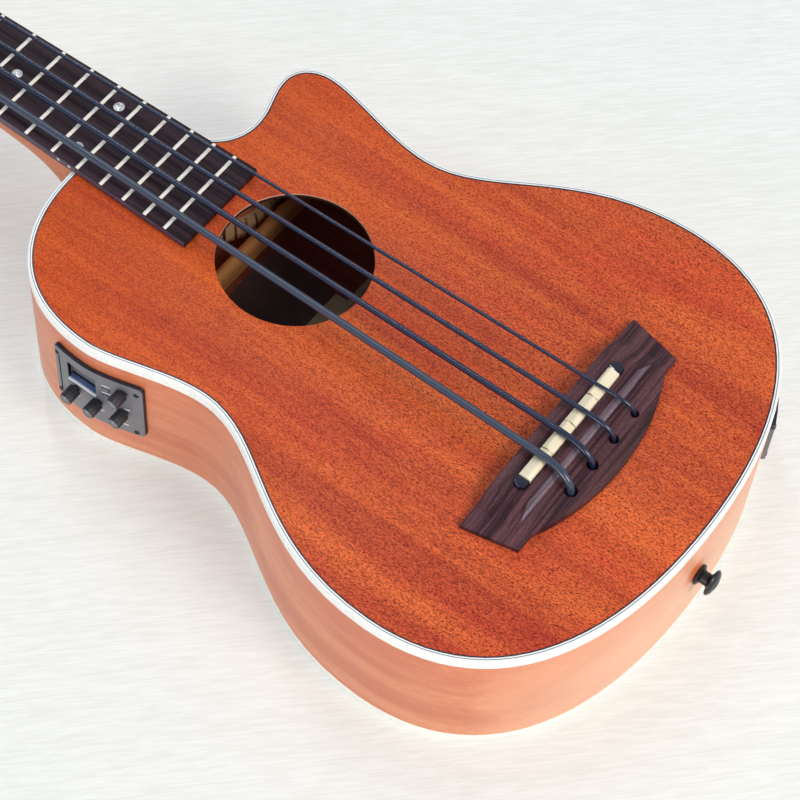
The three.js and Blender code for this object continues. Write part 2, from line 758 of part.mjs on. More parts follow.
// How far across the body a brace may run inside the linings
function braceReach(x) {
  const points = outline(LINING_INNER_INSET + EDGE_GAP);
  let low = -Infinity;
  let high = Infinity;
  for (const edge of [x - BRACE_WIDTH / 2, x + BRACE_WIDTH / 2]) {
    for (let k = 0; k < points.length; k += 1) {
      const [x0, y0] = points[k];
      const [x1, y1] = points[(k + 1) % points.length];
      if ((x0 - edge) * (x1 - edge) < 0) {
        const y = y0 + (y1 - y0) * (edge - x0) / (x1 - x0);
        if (y < 0) {
          low = Math.max(low, y);
        } else {
          high = Math.min(high, y);
        }
      }
    }
  }
  return { low, high };
}

function makeBridgePlate() {
  const reach = BRIDGE_FRONT_HALF + BRIDGE_PLATE_MARGIN;
  const shape = shapeOf([
    [-BRIDGE_BELLY_X - BRIDGE_PLATE_MARGIN, -BRIDGE_WING_HALF],
    [BRIDGE_FRONT_X + BRIDGE_PLATE_MARGIN, -reach],
    [BRIDGE_FRONT_X + BRIDGE_PLATE_MARGIN, reach],
    [-BRIDGE_BELLY_X - BRIDGE_PLATE_MARGIN, BRIDGE_WING_HALF],
  ]);
  STRING_NAMES.forEach((name, k) => {
    const y = acrossPlace(k, STRING_REAR_PITCH);
    shape.holes.push(roundHole(-STRING_HOLE_X, y, stringHoleRadius(k), HOLE_SIDES));
  });
  return raised(shape, TOP_UNDERSIDE_Z - BRIDGE_PLATE_THICKNESS, TOP_UNDERSIDE_Z);
}

// Neck: shaft and heel as one lofted skin, with the headstock joined at its angle
function neckDepth(x) {
  const share = (x - JOINT_X) / (SCALE_LENGTH - JOINT_X);
  const shaft = NECK_DEPTH_AT_HEEL + (NECK_DEPTH_AT_NUT - NECK_DEPTH_AT_HEEL) * share;
  return shaft + (HEEL_DEPTH - shaft) * Math.exp(-(x - JOINT_X) / HEEL_RUN);
}

function neckRing(x) {
  const half = fretboardHalf(Math.min(x, SCALE_LENGTH));
  const depth = neckDepth(x);
  const points = [[x, -half, TOP_Z]];
  const steps = ROUND_SIDES / 2;
  for (let k = 0; k <= steps; k += 1) {
    const angle = Math.PI * k / steps;
    const y = -half * Math.cos(angle);
    const z = TOP_Z - NECK_EDGE_HEIGHT - (depth - NECK_EDGE_HEIGHT) * Math.sin(angle);
    points.push([x, y, Math.max(z, HEEL_FOOT_Z)]);
  }
  points.push([x, half, TOP_Z]);
  return points;
}

function headMatrix() {
  return new THREE.Matrix4()
    .makeTranslation(HEAD_X, 0, TOP_Z)
    .multiply(new THREE.Matrix4().makeRotationY(HEAD_ANGLE));
}

function headShape() {
  const shape = new THREE.Shape();
  const flareMiddle = HEAD_FLARE_LENGTH / 2;
  const tip = HEAD_LENGTH - HEAD_TIP_RISE;
  const corner = HEAD_TIP_RADIUS;
  shape.moveTo(-HEAD_ROOT, -FRETBOARD_NUT_HALF);
  shape.lineTo(0, -FRETBOARD_NUT_HALF);
  shape.bezierCurveTo(
    flareMiddle, -FRETBOARD_NUT_HALF,
    flareMiddle, -HEAD_NEAR_HALF,
    HEAD_FLARE_LENGTH, -HEAD_NEAR_HALF,
  );
  shape.lineTo(tip - corner, -HEAD_FAR_HALF);
  shape.quadraticCurveTo(tip, -HEAD_FAR_HALF, tip, -HEAD_FAR_HALF + corner);
  shape.quadraticCurveTo(HEAD_LENGTH, 0, tip, HEAD_FAR_HALF - corner);
  shape.quadraticCurveTo(tip, HEAD_FAR_HALF, tip - corner, HEAD_FAR_HALF);
  shape.lineTo(HEAD_FLARE_LENGTH, HEAD_NEAR_HALF);
  shape.bezierCurveTo(
    flareMiddle, HEAD_NEAR_HALF,
    flareMiddle, FRETBOARD_NUT_HALF,
    0, FRETBOARD_NUT_HALF,
  );
  shape.lineTo(-HEAD_ROOT, FRETBOARD_NUT_HALF);
  return shape;
}

function makeNeck() {
  const runs = HEEL_RING_SHARES.map((share) => JOINT_X + share * HEEL_RUN);
  const shaftEnd = HEAD_X + HEAD_ROOT;
  const rings = [...runs, (runs.at(-1) + SCALE_LENGTH) / 2, SCALE_LENGTH, shaftEnd].map(neckRing);
  const shaft = loft(rings);
  const slab = new THREE.ExtrudeGeometry(headShape(), {
    depth: HEAD_THICKNESS,
    bevelEnabled: false,
    curveSegments: BEND_STEPS,
  });
  slab.translate(0, 0, -HEAD_THICKNESS);
  slab.applyMatrix4(headMatrix());
  const posts = STRING_NAMES.map((name, k) => {
    const place = postPlace(k);
    const hole = rod(
      [place.u, place.v, -HEAD_THICKNESS - OVERRUN],
      [place.u, place.v, OVERRUN],
      POST_SHANK_RADIUS + RUN_GAP,
      ROUND_SIDES,
    );
    hole.applyMatrix4(headMatrix());
    return hole;
  });
  const aboveShaft = block(
    [0, -HEAD_NEAR_HALF, TOP_Z],
    [HEAD_X, HEAD_NEAR_HALF, TOP_Z + HEAD_THICKNESS],
  );
  const aboveHead = block([0, -HEAD_NEAR_HALF, 0], [HEAD_LENGTH, HEAD_NEAR_HALF, HEAD_THICKNESS]);
  aboveHead.applyMatrix4(headMatrix());
  return cut(join(shaft, slab), aboveShaft, aboveHead, ...posts);
}

function makeFretboard() {
  const slotHalf = FRET_TANG_WIDTH / 2 + FRET_SLOT_GAP;
  const slotFloor = FRETBOARD_TOP_Z - FRET_TANG_DEPTH - FRET_SLOT_GAP;
  const side = [[FRETBOARD_END_X, TOP_Z], [SCALE_LENGTH, TOP_Z], [SCALE_LENGTH, FRETBOARD_TOP_Z]];
  for (let number = 1; number <= FRET_COUNT; number += 1) {
    const x = fretX(number);
    side.push([x + slotHalf, FRETBOARD_TOP_Z]);
    side.push([x + slotHalf, slotFloor]);
    side.push([x - slotHalf, slotFloor]);
    side.push([x - slotHalf, FRETBOARD_TOP_Z]);
  }
  side.push([FRETBOARD_END_X, FRETBOARD_TOP_Z]);
  const slotted = prismAlongY(side, -FRETBOARD_END_HALF - OVERRUN, FRETBOARD_END_HALF + OVERRUN);
  const taper = shapeOf([
    [FRETBOARD_END_X, -FRETBOARD_END_HALF],
    [SCALE_LENGTH, -FRETBOARD_NUT_HALF],
    [SCALE_LENGTH, FRETBOARD_NUT_HALF],
    [FRETBOARD_END_X, FRETBOARD_END_HALF],
  ]);
  return common(slotted, raised(taper, TOP_Z - OVERRUN, FRETBOARD_TOP_Z + OVERRUN));
}

function makeFret(number) {
  const x = fretX(number);
  const tang = FRET_TANG_WIDTH / 2;
  const points = [
    [x - tang, FRETBOARD_TOP_Z - FRET_TANG_DEPTH],
    [x + tang, FRETBOARD_TOP_Z - FRET_TANG_DEPTH],
    [x + tang, FRETBOARD_TOP_Z],
  ];
  for (let k = 0; k <= CROWN_STEPS; k += 1) {
    const angle = Math.PI * k / CROWN_STEPS;
    const across = x + FRET_WIDTH / 2 * Math.cos(angle);
    points.push([across, FRETBOARD_TOP_Z + FRET_HEIGHT * Math.sin(angle)]);
  }
  points.push([x - tang, FRETBOARD_TOP_Z]);
  const half = fretboardHalf(x) - FRET_END_INSET;
  return prismAlongY(points, -half, half);
}

function nutStringZ(index) {
  return NUT_GROOVE_Z + stringRadius(index) + STRING_GAP;
}

function makeNut() {
  const body = block(
    [SCALE_LENGTH, -FRETBOARD_NUT_HALF, TOP_Z],
    [HEAD_X, FRETBOARD_NUT_HALF, TOP_Z + NUT_HEIGHT],
  );
  const grooves = STRING_NAMES.map((name, k) => {
    const y = acrossPlace(k, STRING_NUT_PITCH);
    const radius = stringRadius(k) + STRING_GAP;
    const z = nutStringZ(k);
    const trough = rod([SCALE_LENGTH - OVERRUN, y, z], [HEAD_X + OVERRUN, y, z], radius, ROUND_SIDES);
    const mouth = block(
      [SCALE_LENGTH - OVERRUN, y - radius, z],
      [HEAD_X + OVERRUN, y + radius, TOP_Z + NUT_HEIGHT + OVERRUN],
    );
    return join(trough, mouth);
  });
  return cut(body, ...grooves);
}

// Bridge
function bridgeShape() {
  const shape = new THREE.Shape();
  const [bellyStart, bellyEnd] = BELLY_HANDLE_SHARES;
  const drop = BRIDGE_BELLY_X - BRIDGE_WING_X;
  shape.moveTo(BRIDGE_FRONT_X, -BRIDGE_FRONT_HALF);
  shape.lineTo(BRIDGE_FRONT_X, BRIDGE_FRONT_HALF);
  shape.lineTo(-BRIDGE_WING_X, BRIDGE_WING_HALF);
  shape.lineTo(-BRIDGE_WING_X, BRIDGE_WING_INNER_HALF);
  shape.bezierCurveTo(
    -BRIDGE_WING_X - drop * bellyStart, BRIDGE_WING_INNER_HALF * (1 - bellyStart / 2),
    -BRIDGE_BELLY_X, BRIDGE_WING_INNER_HALF * bellyEnd,
    -BRIDGE_BELLY_X, 0,
  );
  shape.bezierCurveTo(
    -BRIDGE_BELLY_X, -BRIDGE_WING_INNER_HALF * bellyEnd,
    -BRIDGE_WING_X - drop * bellyStart, -BRIDGE_WING_INNER_HALF * (1 - bellyStart / 2),
    -BRIDGE_WING_X, -BRIDGE_WING_INNER_HALF,
  );
  shape.lineTo(-BRIDGE_WING_X, -BRIDGE_WING_HALF);
  return shape;
}

function makeBridge() {
  const blank = raised(bridgeShape(), TOP_Z, TOP_Z + BRIDGE_HEIGHT);
  const high = TOP_Z + BRIDGE_HEIGHT + OVERRUN;
  const slopeEnd = BRIDGE_PLATEAU_HALF + BRIDGE_SLOPE_LENGTH;
  const outer = BRIDGE_FRONT_HALF + OVERRUN;
  const wings = [-1, 1].map((side) => prismAlongX([
    [side * BRIDGE_PLATEAU_HALF, TOP_Z + BRIDGE_HEIGHT],
    [side * slopeEnd, TOP_Z + BRIDGE_WING_HEIGHT],
    [side * outer, TOP_Z + BRIDGE_WING_HEIGHT],
    [side * outer, high],
    [side * BRIDGE_PLATEAU_HALF, high],
  ], -BRIDGE_BELLY_X - OVERRUN, BRIDGE_FRONT_X + OVERRUN));
  const bevelFoot = -BRIDGE_BEVEL_X - BRIDGE_BEVEL_LENGTH;
  const rear = prismAlongY([
    [-BRIDGE_BEVEL_X, TOP_Z + BRIDGE_HEIGHT],
    [-BRIDGE_BEVEL_X, high],
    [-BRIDGE_BELLY_X - OVERRUN, high],
    [-BRIDGE_BELLY_X - OVERRUN, TOP_Z + BRIDGE_BELLY_EDGE_HEIGHT],
    [-BRIDGE_BELLY_X, TOP_Z + BRIDGE_BELLY_EDGE_HEIGHT],
    [-BRIDGE_BELLY_X + BRIDGE_BELLY_BEVEL, TOP_Z + BRIDGE_REAR_HEIGHT],
    [bevelFoot, TOP_Z + BRIDGE_REAR_HEIGHT],
  ], -outer, outer);
  const slotWidth = SADDLE_WIDTH + 2 * EDGE_GAP;
  const slotShape = roundedRectangle(slotWidth, SADDLE_SLOT_LENGTH, slotWidth / 2);
  const slot = raised(slotShape, TOP_Z + SADDLE_SLOT_FLOOR, high);
  slot.translate(SADDLE_FRONT_X - SADDLE_WIDTH / 2, 0, 0);
  const holes = STRING_NAMES.map((name, k) => {
    const y = acrossPlace(k, STRING_REAR_PITCH);
    return rod([-STRING_HOLE_X, y, TOP_Z - OVERRUN], [-STRING_HOLE_X, y, high], stringHoleRadius(k), HOLE_SIDES);
  });
  return cut(blank, ...wings, rear, slot, ...holes);
}

function crownX(index) {
  return SADDLE_FRONT_X - SADDLE_WIDTH * CROWN_SHARES[index];
}

function makeSaddle() {
  const seat = TOP_Z + SADDLE_SLOT_FLOOR + PICKUP_THICKNESS;
  const rear = SADDLE_FRONT_X - SADDLE_WIDTH;
  const shoulder = SADDLE_TOP_Z - SADDLE_CROWN_DROP;
  const pieceLength = SADDLE_LENGTH / STRING_NAMES.length;
  const pieces = STRING_NAMES.map((name, k) => {
    const profile = [
      [rear, seat],
      [SADDLE_FRONT_X, seat],
      [SADDLE_FRONT_X, shoulder],
      [crownX(k), SADDLE_TOP_Z],
      [rear, shoulder],
    ];
    const high = SADDLE_LENGTH / 2 - pieceLength * k;
    return prismAlongY(profile, high - pieceLength, high);
  });
  return join(...pieces);
}

function makePickup() {
  const middle = SADDLE_FRONT_X - SADDLE_WIDTH / 2;
  const floor = TOP_Z + SADDLE_SLOT_FLOOR;
  return block(
    [middle - PICKUP_WIDTH / 2, -SADDLE_LENGTH / 2, floor],
    [middle + PICKUP_WIDTH / 2, SADDLE_LENGTH / 2, floor + PICKUP_THICKNESS],
  );
}

// A curve through given stations, one station for each step
class StationCurve extends THREE.CatmullRomCurve3 {
  getUtoTmapping(u) {
    return u;
  }
}

// String winding on its post, in the headstock's own directions
function postPlace(index) {
  const near = index === 0 || index === STRING_NAMES.length - 1;
  const side = index < STRING_NAMES.length / 2 ? 1 : -1;
  return {
    u: near ? NEAR_POST_DISTANCE : FAR_POST_DISTANCE,
    v: side * (near ? NEAR_POST_HALF : FAR_POST_HALF),
    side,
  };
}

function windingStations(index) {
  const { u, v, side } = postPlace(index);
  const radius = POST_RADIUS + STRING_GAP + stringRadius(index);
  const pitch = STRING_DIAMETERS[index] + WIND_PITCH_EXTRA;
  const floor = WIND_FLOOR + stringRadius(index);
  const top = floor + pitch * WIND_TURNS;
  const steps = Math.round(WIND_TURNS * WIND_STEPS_PER_TURN);
  const stations = [];
  for (let k = 0; k <= steps; k += 1) {
    const angle = Math.PI * 2 * WIND_TURNS * k / steps;
    stations.push(new THREE.Vector3(
      u + radius * Math.sin(angle),
      v - side * radius * Math.cos(angle),
      top - (top - floor) * k / steps,
    ));
  }
  return stations.map((station) => station.applyMatrix4(headMatrix()));
}

// Least gap between the turns of a winding, measured on points along its middle line
function leastWindingGap(index) {
  const curve = new StationCurve(windingStations(index), false, 'centripetal');
  const halfTurn = WIND_STEPS_PER_TURN * WIND_GAP_SAMPLES / 2;
  const points = curve.getPoints(Math.round(halfTurn * 2 * WIND_TURNS));
  let least = Infinity;
  for (let a = 0; a < points.length; a += 1) {
    for (let b = a + halfTurn; b < points.length; b += 1) {
      least = Math.min(least, points[a].distanceTo(points[b]));
    }
  }
  return least - STRING_DIAMETERS[index];
}

// From the knot under the bridge plate, up through the bridge, over the saddle and the nut, to the post
function stringStations(index) {
  const radius = stringRadius(index);
  const holeY = acrossPlace(index, STRING_REAR_PITCH);
  const saddleY = acrossPlace(index, STRING_SADDLE_PITCH);
  const nutY = acrossPlace(index, STRING_NUT_PITCH);
  const knotZ = TOP_UNDERSIDE_Z - BRIDGE_PLATE_THICKNESS - STRING_KNOT_EXTRA - radius;
  const bendZ = TOP_Z + BRIDGE_REAR_HEIGHT - STRING_BEND_DROP;
  const crown = new THREE.Vector3(crownX(index), saddleY, SADDLE_TOP_Z + STRING_GAP + radius);
  const stations = [
    new THREE.Vector3(-STRING_HOLE_X, holeY, knotZ),
    new THREE.Vector3(-STRING_HOLE_X, holeY, (knotZ + bendZ) / 2),
  ];
  const run = crown.x + STRING_HOLE_X - STRING_BEND_RADIUS;
  const slope = Math.atan2(crown.z - bendZ - STRING_BEND_RADIUS, run);
  const sweep = Math.PI / 2 - slope;
  for (let k = 0; k <= BEND_STEPS; k += 1) {
    const angle = sweep * k / BEND_STEPS;
    const along = STRING_BEND_RADIUS * (1 - Math.cos(angle));
    const share = along / (crown.x + STRING_HOLE_X);
    stations.push(new THREE.Vector3(
      -STRING_HOLE_X + along,
      holeY + (saddleY - holeY) * share,
      bendZ + STRING_BEND_RADIUS * Math.sin(angle),
    ));
  }
  const before = stations.at(-1);
  stations.push(before.clone().lerp(crown, 1 / 2));
  const nut = new THREE.Vector3(SCALE_LENGTH, nutY, nutStringZ(index));
  const past = new THREE.Vector3(HEAD_X, nutY, nutStringZ(index));
  stations.push(crown.clone().add(new THREE.Vector3(0, 0, STRING_GAP / 2)));
  stations.push(crown.clone().lerp(nut, SADDLE_WIDTH / SCALE_LENGTH));
  stations.push(crown.clone().lerp(nut, 1 / 2));
  stations.push(nut);
  stations.push(past);
  const winding = windingStations(index);
  stations.push(past.clone().lerp(winding[0], 1 / 4));
  stations.push(past.clone().lerp(winding[0], 3 / 4));
  return [...stations, ...winding];
}

function makeString(index) {
  const stations = stringStations(index);
  const radius = stringRadius(index);
  const section = new THREE.Shape();
  for (let k = 0; k < STRING_SIDES; k += 1) {
    const angle = Math.PI * 2 * k / STRING_SIDES;
    const place = [radius * Math.cos(angle), radius * Math.sin(angle)];
    if (k === 0) {
      section.moveTo(...place);
    } else {
      section.lineTo(...place);
    }
  }
  const tube = new THREE.ExtrudeGeometry(section, {
    steps: stations.length - 1,
    bevelEnabled: false,
    extrudePath: new StationCurve(stations, false, 'centripetal'),
  });
  const knot = new THREE.SphereGeometry(stringHoleRadius(index) + STRING_KNOT_EXTRA / 2, HOLE_SIDES, CROWN_STEPS);
  knot.rotateX(Math.PI / 2);
  const top = TOP_UNDERSIDE_Z - BRIDGE_PLATE_THICKNESS - STRING_GAP;
  knot.translate(stations[0].x, stations[0].y, top - stringHoleRadius(index) - STRING_KNOT_EXTRA / 2);
  return join(tube, knot);
}

// Tuning machine, in the headstock's own directions with its post on the axis
function makePost() {
  const pivotEnd = WHEEL_TOP_W - WHEEL_THICKNESS - RUN_GAP - HOUSING_WALL;
  return turned([
    [0, pivotEnd],
    [PIVOT_RADIUS, pivotEnd],
    [PIVOT_RADIUS, WHEEL_TOP_W - WHEEL_THICKNESS],
    [WHEEL_RADIUS, WHEEL_TOP_W - WHEEL_THICKNESS],
    [WHEEL_RADIUS, WHEEL_TOP_W],
    [POST_SHANK_RADIUS, WHEEL_TOP_W],
    [POST_SHANK_RADIUS, POST_FOOT],
    [POST_RADIUS, POST_FOOT],
    [POST_RADIUS, POST_HEIGHT],
    [POST_CAP_RADIUS, POST_HEIGHT + POST_CAP_HEIGHT / 2],
    [POST_CAP_RADIUS - POST_CAP_HEIGHT / 2, POST_HEIGHT + POST_CAP_HEIGHT],
    [0, POST_HEIGHT + POST_CAP_HEIGHT],
  ], ROUND_SIDES);
}

function makeTunerHousing(side) {
  const top = -HEAD_THICKNESS - RUN_GAP;
  const half = WHEEL_RADIUS + RUN_GAP + HOUSING_WALL;
  const far = WORM_OFFSET + WORM_RADIUS + RUN_GAP + HOUSING_WALL;
  const bottom = WHEEL_TOP_W - WHEEL_THICKNESS - RUN_GAP - HOUSING_WALL;
  const plateBody = block([-half - HOUSING_TAB, -half, top - HOUSING_FLANGE], [far + HOUSING_TAB, half, top]);
  const can = block([-half, -half, bottom], [far, half, top - HOUSING_FLANGE / 2]);
  const wheelRoom = rod(
    [0, 0, bottom + HOUSING_WALL],
    [0, 0, WHEEL_TOP_W + RUN_GAP],
    WHEEL_RADIUS + RUN_GAP,
    ROUND_SIDES,
  );
  const wormHalf = WORM_LENGTH / 2 + RUN_GAP;
  const wormRoom = rod(
    [WORM_OFFSET, -wormHalf, WHEEL_MIDDLE_W],
    [WORM_OFFSET, wormHalf, WHEEL_MIDDLE_W],
    WORM_RADIUS + RUN_GAP,
    HOLE_SIDES,
  );
  const shaftHole = rod(
    [WORM_OFFSET, 0, WHEEL_MIDDLE_W],
    [WORM_OFFSET, side * (half + OVERRUN), WHEEL_MIDDLE_W],
    KNOB_SHAFT_RADIUS + RUN_GAP,
    HOLE_SIDES,
  );
  const postHole = rod([0, 0, WHEEL_MIDDLE_W], [0, 0, OVERRUN], POST_SHANK_RADIUS + RUN_GAP, ROUND_SIDES);
  const pivotHole = rod([0, 0, bottom - OVERRUN], [0, 0, WHEEL_MIDDLE_W], PIVOT_RADIUS + RUN_GAP, HOLE_SIDES);
  return cut(join(plateBody, can), wheelRoom, wormRoom, shaftHole, postHole, pivotHole);
}

function makeTunerKnob(side) {
  const half = WHEEL_RADIUS + RUN_GAP + HOUSING_WALL;
  const shaftEnd = half + KNOB_SHAFT_LENGTH;
  const place = (length) => [WORM_OFFSET, side * length, WHEEL_MIDDLE_W];
  const worm = rod(place(-WORM_LENGTH / 2), place(WORM_LENGTH / 2), WORM_RADIUS, HOLE_SIDES);
  const shaft = rod(place(0), place(shaftEnd + KNOB_NECK_WIDTH), KNOB_SHAFT_RADIUS, HOLE_SIDES);
  const paddle = new THREE.Shape();
  const wide = KNOB_WIDTH / 2 - KNOB_EDGE;
  const start = shaftEnd + KNOB_EDGE;
  const end = shaftEnd + KNOB_LENGTH - KNOB_EDGE;
  const middle = (start + end) / 2;
  paddle.moveTo(-KNOB_NECK_WIDTH / 2, start);
  paddle.lineTo(KNOB_NECK_WIDTH / 2, start);
  paddle.quadraticCurveTo(wide, start, wide, middle);
  paddle.quadraticCurveTo(wide, end, 0, end);
  paddle.quadraticCurveTo(-wide, end, -wide, middle);
  paddle.quadraticCurveTo(-wide, start, -KNOB_NECK_WIDTH / 2, start);
  const button = new THREE.ExtrudeGeometry(paddle, {
    depth: KNOB_THICKNESS - 2 * KNOB_EDGE,
    bevelSize: KNOB_EDGE,
    bevelThickness: KNOB_EDGE,
    bevelSegments: 1,
    curveSegments: BEND_STEPS,
  });
  button.translate(0, 0, -KNOB_THICKNESS / 2 + KNOB_EDGE);
  if (side < 0) {
    button.rotateZ(Math.PI);
  }
  button.translate(WORM_OFFSET, 0, WHEEL_MIDDLE_W);
  return join(worm, shaft, button);
}

// Preamp
function makePreampPanel() {
  const shell = ring(-EDGE_GAP - PANEL_THICKNESS, -EDGE_GAP, 0, TOP_Z);
  const face = roundedRectangle(PANEL_WIDTH, PANEL_HEIGHT, PANEL_CORNER);
  const window = new THREE.ExtrudeGeometry(face, {
    depth: UPPER_BOUT_HALF,
    bevelEnabled: false,
    curveSegments: BEND_STEPS,
  });
  window.rotateX(Math.PI / 2);
  window.translate(PANEL_X, UPPER_BOUT_HALF + PANEL_HOUSING_DEPTH, PANEL_Z);
  const flange = common(shell, window);
  const housing = common(plate(-PANEL_HOUSING_OVERLAP, 0, TOP_Z), housingBlock(0));
  const displayX = PANEL_X + DISPLAY_ALONG;
  const displayY = bassSideY(displayX, EDGE_GAP + PANEL_THICKNESS) - DISPLAY_DEPTH;
  const displayZ = PANEL_Z + DISPLAY_RISE;
  const recess = block(
    [displayX - DISPLAY_WIDTH / 2, displayY, displayZ - DISPLAY_HEIGHT / 2],
    [displayX + DISPLAY_WIDTH / 2, displayY + PANEL_HOUSING_DEPTH, displayZ + DISPLAY_HEIGHT / 2],
  );
  const dialHoles = DIAL_NAMES.map((name, k) => {
    const { x, z, base } = dialPlace(k);
    const floor = base - DIAL_GAP - DIAL_SHAFT_DEPTH - RUN_GAP;
    return rod([x, floor, z], [x, base + OVERRUN, z], DIAL_SHAFT_RADIUS + RUN_GAP, HOLE_SIDES);
  });
  const pushHoles = PUSH_NAMES.map((name, k) => {
    const { z, face: top } = pushPlace(k);
    const halfWidth = PUSH_WIDTH / 2 + RUN_GAP;
    const halfHeight = PUSH_HEIGHT / 2 + RUN_GAP;
    const floor = top - PUSH_LENGTH - PUSH_PROUD;
    return block([PUSH_X - halfWidth, floor, z - halfHeight], [PUSH_X + halfWidth, top + OVERRUN, z + halfHeight]);
  });
  return cut(join(flange, housing), recess, ...dialHoles, ...pushHoles);
}

// The volume dial stands above the row of three
function dialPlace(index) {
  const middle = PANEL_X - DIAL_ROW_BACK;
  const x = index === 0 ? middle - DIAL_PITCH : middle - DIAL_PITCH * (index - 2);
  const z = index === 0 ? PANEL_Z + VOLUME_RISE : PANEL_Z - DIAL_ROW_DROP;
  return { x, z, base: bassSideY(x, EDGE_GAP + PANEL_THICKNESS) + DIAL_GAP };
}

function makeDial(index) {
  const { x, z, base } = dialPlace(index);
  const geometry = turned([
    [0, -DIAL_GAP - DIAL_SHAFT_DEPTH],
    [DIAL_SHAFT_RADIUS, -DIAL_GAP - DIAL_SHAFT_DEPTH],
    [DIAL_SHAFT_RADIUS, 0],
    [DIAL_RADIUS, 0],
    [DIAL_RADIUS, DIAL_HEIGHT - DIAL_EDGE],
    [DIAL_RADIUS - DIAL_EDGE, DIAL_HEIGHT],
    [0, DIAL_HEIGHT],
  ], ROUND_SIDES);
  geometry.rotateX(-Math.PI / 2);
  geometry.translate(x, base, z);
  return geometry;
}

function pushPlace(index) {
  const z = PANEL_Z + PUSH_RISE - PUSH_PITCH * index;
  return { z, face: bassSideY(PUSH_X, EDGE_GAP + PANEL_THICKNESS) };
}

function makePush(index) {
  const { z, face } = pushPlace(index);
  return block(
    [PUSH_X - PUSH_WIDTH / 2, face - PUSH_LENGTH + PUSH_PROUD, z - PUSH_HEIGHT / 2],
    [PUSH_X + PUSH_WIDTH / 2, face + PUSH_PROUD, z + PUSH_HEIGHT / 2],
  );
}

// Output plate with its jack socket and battery box, curved like the rim
function makeJackPlate() {
  const outer = EDGE_GAP + JACK_PLATE_THICKNESS;
  const end = outer + JACK_COLLAR_LENGTH;
  const shell = ring(-outer, -EDGE_GAP, 0, TOP_Z);
  const face = roundedRectangle(JACK_PLATE_WIDTH, JACK_PLATE_HEIGHT, JACK_PLATE_CORNER);
  const window = raised(face, -JACK_PLATE_WIDTH / 2, JACK_PLATE_WIDTH / 2);
  const flange = common(shell, window.applyMatrix4(tailSideMatrix(JACK_PLATE_REACH)));
  const [barrel, box] = jackInnards(0, OVERRUN);
  const innards = common(join(barrel, box), plate(-JACK_PLATE_OVERLAP, 0, TOP_Z));
  const collar = rod([0, 0, -RIM_THICKNESS], [0, 0, end], JACK_COLLAR_RADIUS, ROUND_SIDES);
  const bore = rod(
    [0, 0, -JACK_BARREL_LENGTH + JACK_COLLAR_LENGTH],
    [0, 0, end + OVERRUN],
    JACK_BORE_RADIUS,
    ROUND_SIDES,
  );
  return cut(
    join(flange, innards, collar.applyMatrix4(jackMatrix())),
    bore.applyMatrix4(jackMatrix()),
  );
}

function makeStrapButton() {
  const seat = EDGE_GAP;
  const waist = seat + STRAP_FLANGE_THICKNESS;
  const head = waist + STRAP_WAIST_LENGTH;
  const end = head + STRAP_HEAD_THICKNESS;
  const geometry = turned([
    [0, -STRAP_SCREW_LENGTH],
    [STRAP_SCREW_RADIUS, -STRAP_SCREW_LENGTH + STRAP_SCREW_RADIUS],
    [STRAP_SCREW_RADIUS, seat],
    [STRAP_FLANGE_RADIUS, seat],
    [STRAP_FLANGE_RADIUS, waist],
    [STRAP_WAIST_RADIUS, waist],
    [STRAP_WAIST_RADIUS, head],
    [STRAP_HEAD_RADIUS, head],
    [STRAP_HEAD_RADIUS, head + STRAP_HEAD_THICKNESS / 2],
    [STRAP_HEAD_FLAT_RADIUS, end],
    [0, end],
  ], ROUND_SIDES);
  geometry.rotateY(-Math.PI / 2);
  geometry.translate(-TAIL_REACH, 0, STRAP_Z);
  return geometry;
}

// Assembly
const ukulele = new THREE.Group();

function add(parent, name, geometry, material) {
  const mesh = new THREE.Mesh(geometry, material);
  mesh.name = name;
  parent.add(mesh);
}

function addBody() {
  const topLiningZ = TOP_UNDERSIDE_Z - LINING_HEIGHT;
  const bindingZ = TOP_Z - BINDING_HEIGHT;
  const backZ = BACK_THICKNESS;
  add(ukulele, 'soundboard', makeSoundboard(), mahoganyTop());
  add(ukulele, 'back_plate', plate(BACK_BINDING_WIDTH + EDGE_GAP, 0, backZ), mahoganyTop());
  add(ukulele, 'side_rim', makeSideRim(), mahoganySide());
  add(ukulele, 'top_binding', ring(0, BINDING_WIDTH, bindingZ, TOP_Z), whiteBinding());
  add(ukulele, 'back_binding', ring(0, BACK_BINDING_WIDTH, 0, backZ), whiteBinding());
  add(ukulele, 'top_lining', ring(LINING_INSET, LINING_INNER_INSET, topLiningZ, TOP_UNDERSIDE_Z), paleWood());
  add(ukulele, 'back_lining', ring(LINING_INSET, LINING_INNER_INSET, backZ, backZ + LINING_HEIGHT), paleWood());
  add(ukulele, 'neck_block', makeNeckBlock(), paleWood());
  add(ukulele, 'tail_block', makeTailBlock(), paleWood());
  add(ukulele, 'bridge_plate', makeBridgePlate(), paleWood());
  add(ukulele, 'top_brace', makeBrace(JOINT_X - TOP_BRACE_SETBACK, TOP_UNDERSIDE_Z, -1), paleWood());
  add(ukulele, 'back_brace_lower', makeBrace(JOINT_X - BACK_BRACE_SETBACKS[0], backZ, 1), paleWood());
  add(ukulele, 'back_brace_upper', makeBrace(JOINT_X - BACK_BRACE_SETBACKS[1], backZ, 1), paleWood());
}

function addNeck() {
  add(ukulele, 'neck', makeNeck(), mahoganyNeck());
  add(ukulele, 'fretboard', makeFretboard(), rosewood());
  add(ukulele, 'nut', makeNut(), bone());
  for (let number = 1; number <= FRET_COUNT; number += 1) {
    add(ukulele, `fret_${String(number).padStart(2, '0')}`, makeFret(number), nickelSilver());
  }
}

function addBridgeAndStrings() {
  add(ukulele, 'bridge', makeBridge(), rosewood());
  add(ukulele, 'saddle', makeSaddle(), bone());
  add(ukulele, 'saddle_pickup', makePickup(), copperBraid());
  STRING_NAMES.forEach((name, k) => add(ukulele, `string_${name}`, makeString(k), stringPolymer()));
}

